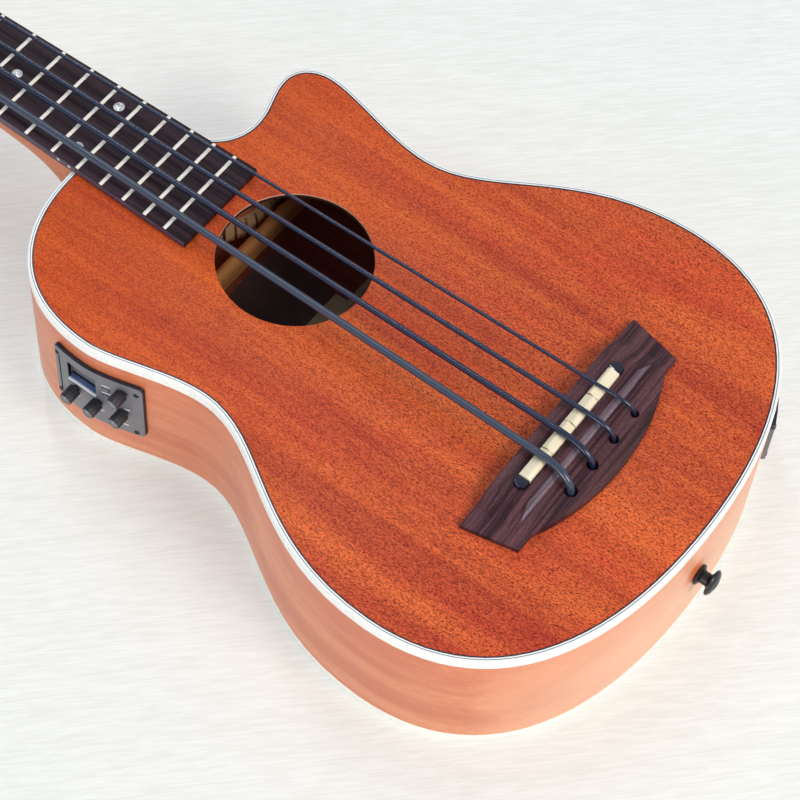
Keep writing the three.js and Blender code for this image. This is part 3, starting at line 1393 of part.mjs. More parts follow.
function addTuners() {
  const head = new THREE.Group();
  head.position.set(HEAD_X, 0, TOP_Z);
  head.rotation.y = HEAD_ANGLE;
  ukulele.add(head);
  STRING_NAMES.forEach((name, k) => {
    const { u, v, side } = postPlace(k);
    const machine = new THREE.Group();
    machine.position.set(u, v, 0);
    head.add(machine);
    add(machine, `tuner_${name}_housing`, makeTunerHousing(side), blackMetal());
    add(machine, `tuner_${name}_post`, makePost(), blackMetal());
    add(machine, `tuner_${name}_knob`, makeTunerKnob(side), blackMetal());
  });
}

function addElectronics() {
  add(ukulele, 'preamp_panel', makePreampPanel(), blackPlastic());
  DIAL_NAMES.forEach((name, k) => add(ukulele, `preamp_${name}_knob`, makeDial(k), blackPlastic()));
  PUSH_NAMES.forEach((name, k) => add(ukulele, `preamp_${name}_button`, makePush(k), blackPlastic()));
  add(ukulele, 'jack_plate', makeJackPlate(), blackPlastic());
  add(ukulele, 'strap_button', makeStrapButton(), blackMetal());
}

addBody();
addNeck();
addBridgeAndStrings();
addTuners();
addElectronics();

STRING_NAMES.forEach((name, k) => {
  console.log(`string_${name}: least gap between its turns ${leastWindingGap(k)} mm`);
});

export default ukulele;
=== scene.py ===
from math import cos, exp, hypot, pi, radians, sin

import bmesh
import bpy
from mathutils import Matrix, Vector


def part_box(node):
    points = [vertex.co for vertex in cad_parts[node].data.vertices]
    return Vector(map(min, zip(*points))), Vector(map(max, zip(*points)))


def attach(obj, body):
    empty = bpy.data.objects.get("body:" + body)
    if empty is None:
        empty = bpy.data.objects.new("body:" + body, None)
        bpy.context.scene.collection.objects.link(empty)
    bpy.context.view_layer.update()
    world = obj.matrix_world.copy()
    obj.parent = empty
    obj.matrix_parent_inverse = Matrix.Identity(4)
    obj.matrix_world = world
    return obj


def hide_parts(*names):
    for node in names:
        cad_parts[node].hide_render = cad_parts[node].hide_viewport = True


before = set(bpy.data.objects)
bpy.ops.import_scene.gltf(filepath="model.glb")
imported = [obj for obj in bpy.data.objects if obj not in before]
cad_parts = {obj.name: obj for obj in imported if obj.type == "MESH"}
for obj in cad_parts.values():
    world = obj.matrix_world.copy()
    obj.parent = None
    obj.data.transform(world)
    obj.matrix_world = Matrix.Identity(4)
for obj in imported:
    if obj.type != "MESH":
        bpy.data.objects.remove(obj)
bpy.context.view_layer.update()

MM = 0.001

# Scale and frets
SCALE_LENGTH = 520
FRET_COUNT = 16
JOINT_X = SCALE_LENGTH / 2 + 3

# Body
BODY_DEPTH = 78.5
TAIL_REACH = 79
LOWER_BOUT_X = 13
LOWER_BOUT_HALF = 129.2
WAIST_X = JOINT_X - 126
WAIST_HALF = 84.5
UPPER_BOUT_X = JOINT_X - 67
UPPER_BOUT_HALF = 96.2
HEEL_SEAT_BASS_Y = 26
HORN_X = JOINT_X - 62
HORN_HALF = 95.9
HORN_TIP_X = JOINT_X - 43
HORN_TIP_Y = 79.5
CUTAWAY_X = JOINT_X - 49
CUTAWAY_Y = 50
CUTAWAY_RUN_X = JOINT_X - 17
CUTAWAY_RUN_Y = 24.5
HEEL_CORNER_RADIUS = 10
TAIL_HANDLE_SHARES = (0.61, 0.67)
LOWER_HANDLE_SHARES = (0.53, 0.29)
UPPER_HANDLE_SHARES = (0.33, 0.25)
SHOULDER_HANDLE_SHARES = (0.7, 0.55)
HORN_HANDLE_SHARES = (0.6, 0.56)
CUTAWAY_HANDLE_SHARES = (0.36, 0.38)
RUN_HANDLE_SHARES = (0.55, 0.66)
QUARTER_ARC_SHARE = 0.5523
SOUNDBOARD_THICKNESS = 3
BACK_THICKNESS = 2.5
RIM_THICKNESS = 2.5
BINDING_WIDTH = 2.8
BINDING_HEIGHT = 6
BINDING_ROUND = 0.7
BACK_BINDING_WIDTH = 2
BACK_BINDING_TOP = 4.4
BACK_BINDING_LIP = 0.12
BACK_BINDING_ROUND = 0.6
BACK_BINDING_LEDGE = 0.3
BRACE_SLIMMING = 1.1
BRACE_TIP_SHARE = 1 / 3
BRACE_TIP_RUN = 28
LINING_WIDTH = 4
LINING_HEIGHT = 12
LINING_STRIP = 1.2
KERF_PITCH = 5.6
KERF_WIDTH = 1.1
EDGE_GAP = 0.3
JACK_HOLE_PLAY = 0.8
HOUSING_HOLE_PLAY = 0.6
SOUND_HOLE_X = JOINT_X - 112.5
SOUND_HOLE_RADIUS = 37
TOP_Z = BODY_DEPTH
TOP_UNDERSIDE_Z = TOP_Z - SOUNDBOARD_THICKNESS
LINING_INSET = BINDING_WIDTH + EDGE_GAP

# Purfling lines on the top, each from one inset to the next
PURFLING_DEPTH = 1.4
LINE_INSETS = (1.25, 1.6)
PALE_INSETS = (1.6, 2.25)
BLACK_INSETS = (2.25, 2.95)

# Blank papers on the back plate: name, look, middle and width
PAPERS = (("blank_label", "label", 173.8, 40.4), ("blank_label_edge", "label_pale", 149, 9))
PAPER_LENGTH = 76
PAPER_THICKNESS = 0.15
PAPER_CORNER = 0.4

# Neck
NECK_DEPTH_AT_NUT = 15
NECK_DEPTH_AT_HEEL = 17.5
NECK_EDGE_HEIGHT = 2
HEEL_DEPTH = 76
HEEL_FOOT_Z = 3
HEEL_RUN = 13
HEAD_ANGLE = radians(12)
HEAD_LENGTH = 146
HEAD_THICKNESS = 13
HEAD_NEAR_HALF = 33.5
HEAD_FAR_HALF = 31
HEAD_FLARE_LENGTH = 34
HEAD_TIP_RADIUS = 12
HEAD_TIP_RISE = 5
HEAD_ROOT = 14
NECK_STATIONS = (0, 0.12, 0.25, 0.4, 0.55, 0.75, 0.95, 1.2, 1.5, 1.85, 2.2, 2.7, 3.2, 3.9, 4.6)
COVER_OUTLINE = ((4, -8), (7, -9), (31, -5.5), (34, -3.5), (34, 3.5), (31, 5.5), (7, 9), (4, 8))
COVER_THICKNESS = 1.6
COVER_SCREWS = ((9, -5.5), (9, 5.5), (30, 0))
COVER_SCREW_RADIUS = 1.6
FRETBOARD_THICKNESS = 4.2
FRETBOARD_NUT_HALF = 20
FRETBOARD_END_HALF = 27.1
FRET_WIDTH = 1.9
FRET_HEIGHT = 0.9
FRET_END_INSET = 0.5
NUT_THICKNESS = 5
NUT_HEIGHT = 8
HEAD_X = SCALE_LENGTH + NUT_THICKNESS
FRETBOARD_TOP_Z = TOP_Z + FRETBOARD_THICKNESS
FRET_TOP_Z = FRETBOARD_TOP_Z + FRET_HEIGHT
DOT_RADIUS = 2.7
DOT_FRETS = (3, 5, 7, 9)
DOUBLE_DOT_FRET = 12
DOUBLE_DOT_Y = 15
SIDE_DOT_RADIUS = 0.9
SIDE_DOT_SPREAD = 3.4

# Bridge and saddle
BRIDGE_FRONT_X = 8
BRIDGE_FRONT_HALF = 67.8
BRIDGE_WING_X = 19.3
BRIDGE_WING_HALF = 62
BRIDGE_WING_INNER_HALF = 53
BRIDGE_BELLY_X = 31.2
BRIDGE_HEIGHT = 8.5
BRIDGE_WING_HEIGHT = 3
BRIDGE_REAR_HEIGHT = 5
BRIDGE_BELLY_EDGE_HEIGHT = 1.8
BRIDGE_BELLY_BEVEL = 5.5
BRIDGE_PLATEAU_HALF = 43
BRIDGE_SLOPE_LENGTH = 13
BRIDGE_BEVEL_X = 10.2
BRIDGE_BEVEL_LENGTH = 2.5
BELLY_HANDLE_SHARES = (0.38, 0.5)
SADDLE_FRONT_X = 0.6
SADDLE_WIDTH = 6
SADDLE_LENGTH = 70
SADDLE_TOP_HEIGHT = 11.5
SADDLE_CROWN_DROP = 1.3
SADDLE_SLOT_LENGTH = 81.2
SADDLE_SLOT_FLOOR = 3
SADDLE_CAP_HEIGHT = 10.2
SADDLE_STEP_GAP = 0.3
PICKUP_THICKNESS = 1.5
CROWN_SHARES = (0.72, 0.4, 0.62, 0.28)
SADDLE_TOP_Z = TOP_Z + SADDLE_TOP_HEIGHT

# Strings
STRING_NAMES = "eadg"
STRING_DIAMETERS = (3.7, 3.1, 2.5, 1.8)
STRING_SADDLE_PITCH = 15.2
STRING_NUT_PITCH = 10.8
STRING_REAR_PITCH = 16.7
STRING_HOLE_X = 21
STRING_HOLE_PLAY = 1
STRING_BEND_DROP = 1.6
BEND_HANDLES = (8, 9)
STRING_KNOT_EXTRA = 2
STRING_GAP = 0.3
STRING_SIDES = 32
NUT_GROOVE_Z = FRET_TOP_Z + 0.8
WIND_TURNS = 1.5
WIND_TURN_STEPS = 24
WIND_PITCH_EXTRA = 0.8
WIND_FLOOR = 1.8
BRIDGE_PLATE_THICKNESS = 2.5

# Tuning machines
NEAR_POST = (46, 22)
FAR_POST = (102, 20)
POST_RADIUS = 5
POST_SHANK_RADIUS = 4
POST_HEIGHT = 14.5
POST_CAP_RADIUS = 6.4
POST_CAP_HEIGHT = 2.6
POST_FOOT = 1.2
RUN_GAP = 0.3
WHEEL_RADIUS = 8
WHEEL_THICKNESS = 4.4
WORM_RADIUS = 3
WORM_HALF = 7.5
HOUSING_WALL = 1.6
HOUSING_FLANGE = 1.8
HOUSING_TAB = 4
HOUSING_SCREW_RADIUS = 1.5
PIVOT_RADIUS = 2
KNOB_SHAFT_RADIUS = 2.2
KNOB_SHAFT_LENGTH = 7
KNOB_LENGTH = 20
KNOB_WIDTH = 21
KNOB_THICKNESS = 7
KNOB_RINGS = 16
KNOB_SIDES = 40
WORM_OFFSET = WHEEL_RADIUS + WORM_RADIUS + RUN_GAP
WHEEL_TOP_W = -HEAD_THICKNESS - RUN_GAP - HOUSING_FLANGE - RUN_GAP
WHEEL_MIDDLE_W = WHEEL_TOP_W - WHEEL_THICKNESS / 2
WHEEL_LOW_W = WHEEL_TOP_W - WHEEL_THICKNESS
HOUSING_HALF = WHEEL_RADIUS + RUN_GAP + HOUSING_WALL
HOUSING_BOTTOM_W = WHEEL_LOW_W - RUN_GAP - HOUSING_WALL

# Preamp
PANEL_X = JOINT_X - 72.7
PANEL_Z = BODY_DEPTH - 35.4
PANEL_WIDTH = 48.2
PANEL_HEIGHT = 41
PANEL_THICKNESS = 2
PANEL_CORNER = 2.4
PANEL_RIM_INSET = 4.5
PANEL_HOUSING_DEPTH = 34
PANEL_HOUSING_FOOT = 10
DISPLAY_ALONG = 7.4
DISPLAY_RISE = 7.4
DISPLAY_WIDTH = 16.8
DISPLAY_HEIGHT = 14.6
DISPLAY_DEPTH = 4
GROOVE_ALONG = 21.2
GROOVE_WIDTH = 0.8
GROOVE_REACH = (-15.5, 13.5)
DIAL_NAMES = ("volume", "bass", "middle", "treble")
DIAL_ROW_BACK = 1.8
DIAL_PITCH = 12.9
DIAL_ROW_DROP = 3.7
VOLUME_RISE = 12.9
DIAL_RADIUS = 3.25
DIAL_HEIGHT = 7.4
DIAL_GAP = 0.9
DIAL_SHAFT_RADIUS = 1.5
DIAL_SHAFT_DEPTH = 6
PUSH_NAMES = ("phase", "tuner")
PUSH_X = PANEL_X - 6.4
PUSH_RISE = 10.3
PUSH_PITCH = 5.6
PUSH_WIDTH = 3.4
PUSH_HEIGHT = 2
PUSH_LENGTH = 6
PUSH_PROUD = 1.4
DIAL_SIDES = 96
DIAL_LOBES = 24
DIAL_LOBE_DEPTH = 0.16
PANEL_SCREW_RADIUS = 1.5

# Screws of the panel: its end and edge, as signs, and the insets from them
PANEL_SCREWS = ((1, 1, 1.9, 5.5), (-1, 1, 2.9, 5.6), (-1, -1, 4, 2.3), (1, -1, 1.7, 3.9))

# White marks on the panel: along it, up it and width
TICKS = (
    (11, -9.8, 2.6), (-3.1, -9.8, 2.6), (-16.3, -0.5, 2.8),
    (-15, -14.3, 2.8), (-6.2, 13, 3.8), (-6.2, 7.1, 4.2),
)
TICK_HALF_HEIGHT = 0.35

# Output plate and strap button
JACK_PLATE_REACH = 104
JACK_PLATE_Z = BODY_DEPTH - 39
JACK_PLATE_WIDTH = 58
JACK_PLATE_HEIGHT = 30
JACK_PLATE_THICKNESS = 2.4
JACK_PLATE_CORNER = 3
JACK_ALONG = 17
JACK_BARREL_RADIUS = 7.5
JACK_BARREL_LENGTH = 24
JACK_COLLAR_RADIUS = 6.5
JACK_COLLAR_LENGTH = 2
JACK_BORE_RADIUS = 3.3
BATTERY_BOX = (28, 24, 22)
BATTERY_BOX_BACK = 10
PLATE_SCREW_INSET = 3
PLATE_SCREW_RADIUS = 1.6
STRAP_Z = BODY_DEPTH - 42
STRAP_FLANGE_RADIUS = 5.3
STRAP_WAIST_RADIUS = 3.2
STRAP_WAIST_LENGTH = 5
STRAP_HEAD_RADIUS = 6.6
STRAP_SCREW_LENGTH = 20
STRAP_SCREW_RADIUS = 1.8
STRAP_HOLE_RADIUS = 2.1
STRAP_SCREW_HEAD_RADIUS = 1.7

OVERRUN = 5
ROUND_SIDES = 48
CORNER_STEPS = 6

# Camera, floor and light
CAMERA_PLACE = (-251.688, 534.505, 1047.750)
CAMERA_TURN = (31.47515, -2.59652, -143.42173)
CAMERA_LENS = 114.834
FLOOR_SIZE = 9.0
FLOOR_DROP = 0.02
FLOOR_GRAIN_ANGLE = 43.8
FLOOR_GLOW = 0.36


def add_object(name, data):
    made = bpy.data.objects.new(name, data)
    bpy.context.scene.collection.objects.link(made)
    return made


def add_camera():
    lens = bpy.data.cameras.new("camera")
    lens.lens = CAMERA_LENS
    lens.clip_start = 0.01
    camera = add_object("camera", lens)
    camera.location = Vector(CAMERA_PLACE) * MM
    camera.rotation_euler = [radians(angle) for angle in CAMERA_TURN]
    bpy.context.scene.camera = camera


add_camera()


# Node helpers
def srgb(red, green, blue):
    def linear(value):
        share = value / 255
        return share / 12.92 if share <= 0.04045 else ((share + 0.055) / 1.055) ** 2.4

    return (linear(red), linear(green), linear(blue), 1.0)


def node(tree, kind, *values, out=0, **settings):
    made = tree.nodes.new("ShaderNode" + kind)
    for name, value in settings.items():
        setattr(made, name, value)
    for place, value in enumerate(values):
        plug(tree, made.inputs[place], value)
    return made.outputs[out]


def plug(tree, socket, value):
    if isinstance(value, bpy.types.NodeSocket):
        tree.links.new(value, socket)
    elif value is not None:
        socket.default_value = value


def here(tree):
    return node(tree, "TexCoord", out=3)


def noise(tree, stretch, detail, rough=0.5, bend=0.0, place=None):
    """Noise whose features are 1/stretch metres along each axis"""
    scaled = node(tree, "VectorMath", place or here(tree), stretch, operation="MULTIPLY")
    return node(tree, "TexNoise", scaled, None, 1.0, detail, rough, None, None, None, bend)


def between(tree, value, low, high, start=0.0, end=1.0):
    return node(tree, "MapRange", value, low, high, start, end)


def sums(tree, how, first, second):
    return node(tree, "Math", first, second, operation=how)


def mixed(tree, share, first, second, how="MIX"):
    made = tree.nodes.new("ShaderNodeMix")
    made.data_type = "RGBA"
    made.blend_type = how
    plug(tree, made.inputs[0], share)
    plug(tree, made.inputs[6], first)
    plug(tree, made.inputs[7], second)
    return made.outputs[2]


def bump(tree, height, distance, strength=1.0):
    made = tree.nodes.new("ShaderNodeBump")
    plug(tree, made.inputs["Height"], height)
    made.inputs["Distance"].default_value = distance
    made.inputs["Strength"].default_value = strength
    return made.outputs["Normal"]


def material(name, **sockets):
    made = bpy.data.materials.new(name)
    made.use_nodes = True
    tree = made.node_tree
    shader = tree.nodes["Principled BSDF"]
    for socket, value in sockets.items():
        shader.inputs[socket.replace("_", " ")].default_value = value
    return made, tree, shader.inputs


def weighed(tree, *parts):
    """The sum of fields, each times its share"""
    total = None
    for share, field in parts:
        part = sums(tree, "MULTIPLY", field, share)
        total = part if total is None else sums(tree, "ADD", total, part)
    return total


def direct_rays(tree):
    """1 for rays from the camera and rays that a surface mirrors or lets through, 0 for all others"""
    rays = tree.nodes.new("ShaderNodeLightPath").outputs
    share = sums(tree, "MAXIMUM", rays["Is Camera Ray"], rays["Is Glossy Ray"])
    return sums(tree, "MAXIMUM", share, rays["Is Transmission Ray"])


# Materials
def wood(name, light, dark, fleck, roughness, stretch=(1, 1, 1), flecks=0.5, streaks=1.0, gloss=0.4,
         tint=None, glint=None):
    """Satin wood with its grain along X. stretch widens or narrows the figure along each axis, tint reddens
    patches near the tail and glint brightens specks"""
    made, tree, sockets = material(name, Roughness=roughness, Specular_IOR_Level=gloss)

    def grain(along, across, detail=2.0, rough=0.5, bend=0.0, start=None):
        size = (along * stretch[0], across * stretch[1], across * stretch[2])
        return noise(tree, size, detail, rough, bend, start)

    place = here(tree)
    waves = grain(3, 12, 2, start=place)
    sway = node(tree, "CombineXYZ", waves, waves, waves)
    sway = node(tree, "VectorMath", sway, (0.01,) * 3, operation="MULTIPLY")
    swayed = node(tree, "VectorMath", place, sway, operation="ADD")
    tone = weighed(
        tree,
        (0.56 * streaks, grain(1.8, 24, 3, 0.5, 0.3, swayed)),
        (0.22 * streaks, grain(3, 90, 3, 0.6, 0.2, swayed)),
        (0.22, grain(8, 400, 2, 0.6, 0.0, swayed)),
        (0.12, grain(30, 70, 3, 0.6, 0.8, swayed)),
    )
    middle = (0.78 * streaks + 0.34) / 2
    body = mixed(tree, between(tree, tone, middle - 0.11, middle + 0.11), light, dark)
    speckle = grain(800, 2500, 1, 0.5, 0.2, place)
    dots = between(tree, speckle, 0.53, 0.62)
    pores = between(tree, grain(260, 2000, 2, 0.6, 0.3, place), 0.55, 0.64)
    marks = sums(tree, "MAXIMUM", dots, sums(tree, "MULTIPLY", pores, 0.7))
    if glint:
        body = mixed(tree, between(tree, speckle, 0.46, 0.36, 0.0, 0.32), body, glint)
    if tint:
        along_x = node(tree, "SeparateXYZ", place)
        marks = sums(tree, "MULTIPLY", marks, between(tree, along_x, 0.02, 0.2, 1.0, 0.6))
    flecked = mixed(tree, sums(tree, "MULTIPLY", marks, flecks), body, fleck)
    if tint:
        patches = between(tree, grain(9, 34, 3, 0.5, 0.6, place), 0.46, 0.62)
        reach = between(tree, along_x, 0.0, 0.2, 0.65, 0.3)
        flecked = mixed(tree, sums(tree, "MULTIPLY", patches, reach), flecked, tint, "MULTIPLY")
        warmer = between(tree, along_x, 0.06, 0.24)
        flecked = mixed(tree, warmer, flecked, srgb(254, 238, 182), "MULTIPLY")
    plug(tree, sockets["Base Color"], flecked)
    plug(tree, sockets["Normal"], bump(tree, sums(tree, "SUBTRACT", 1.0, marks), 0.00002, 0.5))
    return made


def plain(name, colour, roughness, shade=0.1, scale=120.0, grain=0.00001, **sockets):
    """A moulded or plated finish: slight clouding, and a fine bump"""
    made, tree, inputs = material(name, Roughness=roughness, **sockets)
    clouds = noise(tree, (scale,) * 3, 3)
    darker = tuple(channel * (1 - shade) for channel in colour[:3]) + (1.0,)
    plug(tree, inputs["Base Color"], mixed(tree, clouds, colour, darker))
    spread = between(tree, clouds, 0.3, 0.7, roughness * 0.85, min(1.0, roughness * 1.15))
    plug(tree, inputs["Roughness"], spread)
    plug(tree, inputs["Normal"], bump(tree, noise(tree, (scale * 25,) * 3, 2), grain))
    return made


def rosewood(name, light, dark, streak_axis):
    """Dark oiled wood with fine open grain. streak_axis is 0 for grain along X and 1 for grain along Y"""
    made, tree, sockets = material(name, Roughness=0.5, Specular_IOR_Level=0.25)
    along, across = (9, 360) if streak_axis == 0 else (360, 9)
    place = here(tree)
    streaks = noise(tree, (along, across, 60), 3, 0.6, 0.3, place=place)
    fine = noise(tree, (along * 6, across * 6, 300), 2, place=place)
    tone = weighed(tree, (0.7, streaks), (0.3, fine))
    specks = between(tree, noise(tree, (1900, 1900, 1900), 1, place=place), 0.5, 0.64, 0.0, 0.7)
    streaked = mixed(tree, between(tree, tone, 0.43, 0.58), dark, light)
    plug(tree, sockets["Base Color"], mixed(tree, specks, streaked, dark))
    plug(tree, sockets["Roughness"], between(tree, fine, 0.3, 0.7, 0.42, 0.6))
    plug(tree, sockets["Normal"], bump(tree, fine, 0.00004))
    return made


def string_coat(name, colour, roughness):
    return plain(name, colour, roughness, 0.1, 60.0, 0.000005, Specular_IOR_Level=0.7)


def pearl(name):
    made, tree, sockets = material(name, Roughness=0.2, Coat_Weight=0.6, Coat_Roughness=0.1)
    cells = noise(tree, (420, 420, 420), 2, 0.5, 0.8)
    body = mixed(tree, between(tree, cells, 0.35, 0.65), srgb(236, 234, 226), srgb(168, 172, 178))
    plug(tree, sockets["Base Color"], body)
    return made


def hole_edge(name):
    """The sound hole's wall: a pale line under its upper corner, and darker wood below"""
    made, tree, sockets = material(name, Roughness=0.6)
    height = node(tree, "SeparateXYZ", here(tree), out=2)
    share = between(tree, height, (TOP_Z - 1.1) * MM, (TOP_Z - 0.8) * MM)
    grain = between(tree, noise(tree, (300, 300, 2500), 2), 0.3, 0.7, 0.85, 1.0)
    grey = node(tree, "CombineColor", grain, grain, grain)
    tone = mixed(tree, share, srgb(52, 26, 18), srgb(255, 186, 150))
    plug(tree, sockets["Base Color"], mixed(tree, 1.0, tone, grey, "MULTIPLY"))
    return made


def rim_wood(name):
    """Paler smooth wood: painted light makes it lightest at the tail, where the key lamp falls; warmer
    towards the top, and orange beside the strap button
    """
    colours = srgb(238, 154, 110), srgb(214, 118, 78), srgb(182, 92, 58)
    made = wood(name, *colours, 0.34, (1, 1, 2.2), 0.3, 1.15, 0.6)
    tree = made.node_tree
    socket = tree.nodes["Principled BSDF"].inputs["Base Color"]
    body = socket.links[0].from_socket
    painted_tail_light = between(tree, node(tree, "SeparateXYZ", here(tree)), -0.035, -0.075, 0.0, 0.7)
    upward = between(tree, node(tree, "SeparateXYZ", here(tree), out=2), 0.03, 0.072, 0.0, 0.7)
    patch = Vector((-TAIL_REACH, 5, STRAP_Z + 9)) * MM
    away = node(tree, "VectorMath", here(tree), patch, operation="DISTANCE", out=1)
    # Painted light: the tail end is mixed towards a pale colour, standing in for the key lamp's light there
    body = mixed(tree, painted_tail_light, body, srgb(255, 198, 160))
    body = mixed(tree, upward, body, srgb(248, 212, 192), "MULTIPLY")
    plug(tree, socket, mixed(tree, between(tree, away, 0.005, 0.01, 0.8, 0.0), body, srgb(232, 102, 30)))
    return made


LOOKS = {
    "top": wood(
        "mahogany_top", srgb(244, 114, 58), srgb(192, 72, 46), srgb(112, 30, 18), 0.42, flecks=0.86,
        streaks=1.3, gloss=0.16, tint=srgb(240, 190, 226), glint=srgb(250, 136, 66),
    ),
    "side": rim_wood("mahogany_side"),
    "neck": wood(
        "mahogany_neck", srgb(216, 132, 88), srgb(190, 104, 64), srgb(140, 68, 38), 0.4, (1, 1.2, 1.2), 0.3,
    ),
    "inner": wood(
        "bare_inside", srgb(146, 78, 60), srgb(112, 54, 42), srgb(70, 32, 22), 0.7, flecks=0.3, gloss=0.1,
    ),
    "brace_pale": wood(
        "brace_pale_wood", srgb(176, 156, 120), srgb(160, 138, 102), srgb(120, 96, 66), 0.7, flecks=0.2,
    ),
    "pale": wood(
        "pale_wood", srgb(226, 192, 152), srgb(204, 166, 124), srgb(160, 118, 80), 0.7, flecks=0.25,
        streaks=0.8,
    ),
    "brace": wood(
        "brace_wood", srgb(218, 152, 92), srgb(182, 116, 66), srgb(140, 84, 44), 0.7, (12, 0.08, 1), 0.2, 0.8,
    ),
    "edge": hole_edge("cut_edge"),
    "bridge": rosewood("rosewood_bridge", srgb(108, 68, 72), srgb(50, 24, 30), 1),
    # The bridge's rosewood lightened and greyed for the bevel behind the saddle: painted sheen
    "bevel": rosewood("rosewood_painted_sheen", srgb(146, 126, 136), srgb(84, 66, 74), 1),
    "belly": rosewood("rosewood_belly", srgb(92, 54, 54), srgb(34, 16, 20), 1),
    "board": rosewood("rosewood_board", srgb(66, 46, 52), srgb(26, 14, 20), 0),
    # The fretboard's rosewood lightened to purple grey for its sides: painted sheen
    "board_painted_sheen": rosewood("rosewood_board_painted_sheen", srgb(104, 88, 104), srgb(72, 58, 72), 0),
    "white": plain("white_binding", srgb(254, 252, 244), 0.28, 0.015),
    "cream": plain("cream_binding", srgb(255, 251, 240), 0.26, 0.01),
    "line": plain("grey_line", srgb(92, 104, 122), 0.4, 0.1),
    "black_line": plain("black_line", srgb(26, 22, 34), 0.35, 0.1),
    "bone": plain("bone", srgb(255, 239, 202), 0.35, 0.05, 300.0, 0.00001),
    "bone_step": plain("bone_step", srgb(206, 176, 128), 0.4, 0.1, 300.0, 0.00001),
    "cap": plain("saddle_cap", srgb(18, 22, 36), 0.12, 0.1, Coat_Weight=0.6, Coat_Roughness=0.05),
    "fret": plain("fret_wire", srgb(255, 248, 234), 0.3, 0.04),
    "string": string_coat("string_polymer", srgb(28, 36, 64), 0.2),
    "string_grey": string_coat("string_polymer_grey", srgb(56, 66, 84), 0.24),
    "braid": plain("copper_braid", srgb(190, 130, 84), 0.4, 0.2, 900.0, 0.00004, Metallic=0.9),
    # Black moulding painted mid grey: the grey is painted sheen from the bright floor it faces
    "moulding": plain("black_moulding", srgb(120, 117, 122), 0.42, 0.08, 200.0, 0.00001),
    # Dark blue: painted dark reflection on upward faces of the black mouldings, and painted shadow behind the
    # display ledge
    "painted_shadow_and_dark_reflection": plain("painted_shadow_and_dark_reflection_moulding", srgb(34, 38, 54), 0.4, 0.1, 200.0, 0.00001),
    "knob": plain("dark_moulding", srgb(40, 40, 48), 0.4, 0.1, 200.0, 0.00002),
    # The dials' end faces: their black moulding painted light grey as painted sheen
    "knob_painted_sheen": plain("knob_face_painted_sheen", srgb(122, 120, 125), 0.4, 0.08, 200.0, 0.00001),
    "dark": plain("shadow_black", srgb(24, 24, 32), 0.5, 0.1),
    "gloss": plain("gloss_black", srgb(26, 26, 28), 0.18, 0.1),
    "metal": plain("black_metal", srgb(62, 62, 66), 0.3, 0.1, Metallic=0.7),
    "label": plain("dark_paper", srgb(78, 58, 52), 0.8, 0.06),
    "label_pale": plain("pale_paper", srgb(184, 162, 126), 0.8, 0.08),
    # White: printed ticks and pointers, and the painted highlight along the display ledge's front
    "mark": plain("white_print_and_painted_highlight", srgb(240, 240, 246), 0.5, 0.04),
    "glass": plain(
        "display_glass", srgb(110, 130, 184), 0.1, 0.35, 160.0, Coat_Weight=1.0, Coat_Roughness=0.05,
    ),
    "pearl": pearl("pearl_dot"),
}


# Mesh helpers
def mesh_of(points, faces):
    mesh = bpy.data.meshes.new("mesh")
    mesh.from_pydata([Vector(point) * MM for point in points], [], faces)
    return mesh


def tidy(mesh):
    """Joins points that meet and turns every face outwards"""
    work = bmesh.new()
    work.from_mesh(mesh)
    bmesh.ops.remove_doubles(work, verts=work.verts, dist=0.002 * MM)
    bmesh.ops.dissolve_degenerate(work, edges=work.edges, dist=0.001 * MM)
    bmesh.ops.recalc_face_normals(work, faces=work.faces)
    work.to_mesh(mesh)
    work.free()
    return mesh


def settled(holder):
    """The mesh that an object's curve or modifiers give. The object itself goes"""
    graph = bpy.context.evaluated_depsgraph_get()
    mesh = bpy.data.meshes.new_from_object(holder.evaluated_get(graph))
    bpy.data.objects.remove(holder)
    return mesh


def carve(mesh, *tools, how="DIFFERENCE"):
    """One mesh cut by, joined to or kept inside others"""
    holder = add_object("carved", mesh)
    helpers = [add_object("tool", tool) for tool in tools]
    for helper in helpers:
        modifier = holder.modifiers.new("carve", "BOOLEAN")
        modifier.operation = how
        modifier.solver = "EXACT"
        modifier.object = helper
    result = settled(holder)
    for helper in helpers:
        bpy.data.objects.remove(helper)
    return tidy(result)


def bevelled(mesh, width, segments=2, angle=30.0):
    holder = add_object("bevelled", tidy(mesh))
    modifier = holder.modifiers.new("bevel", "BEVEL")
    modifier.width = width * MM
    modifier.segments = segments
    modifier.limit_method = "ANGLE"
    modifier.angle_limit = radians(angle)
    return settled(holder)


def piece(name, mesh, look, body="ukulele", nodes=(), smooth=32.0, parts=()):
    """A shown piece. parts is (look, test) pairs: faces whose centre and normal pass a test take its look"""
    tidy(mesh)
    made = add_object(name, mesh)
    mesh.materials.clear()
    mesh.materials.append(LOOKS[look])
    mesh.shade_smooth()
    mesh.set_sharp_from_angle(angle=radians(smooth))
    for place, (other, test) in enumerate(parts, 1):
        mesh.materials.append(LOOKS[other])
        for face in mesh.polygons:
            if test(face.center / MM, face.normal):
                face.material_index = place
    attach(made, body)
    if nodes:
        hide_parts(*nodes)


def swing(first, last, steps):
    """Angles in even steps, from one to another in degrees"""
    return [radians(first + (last - first) * k / steps) for k in range(steps + 1)]


def loft(rings, closed=False):
    """A solid skin over rings of points, capped at both ends or, if closed, joined end to end"""
    count, levels = len(rings[0]), len(rings)
    points = [point for ring in rings for point in ring]
    faces = []
    for level in range(levels if closed else levels - 1):
        low, high = level * count, (level + 1) % levels * count
        for k in range(count):
            j = (k + 1) % count
            faces.append((low + k, low + j, high + j, high + k))
    if not closed:
        faces += [tuple(range(count)), tuple(range(len(points) - count, len(points)))]
    return tidy(mesh_of(points, faces))


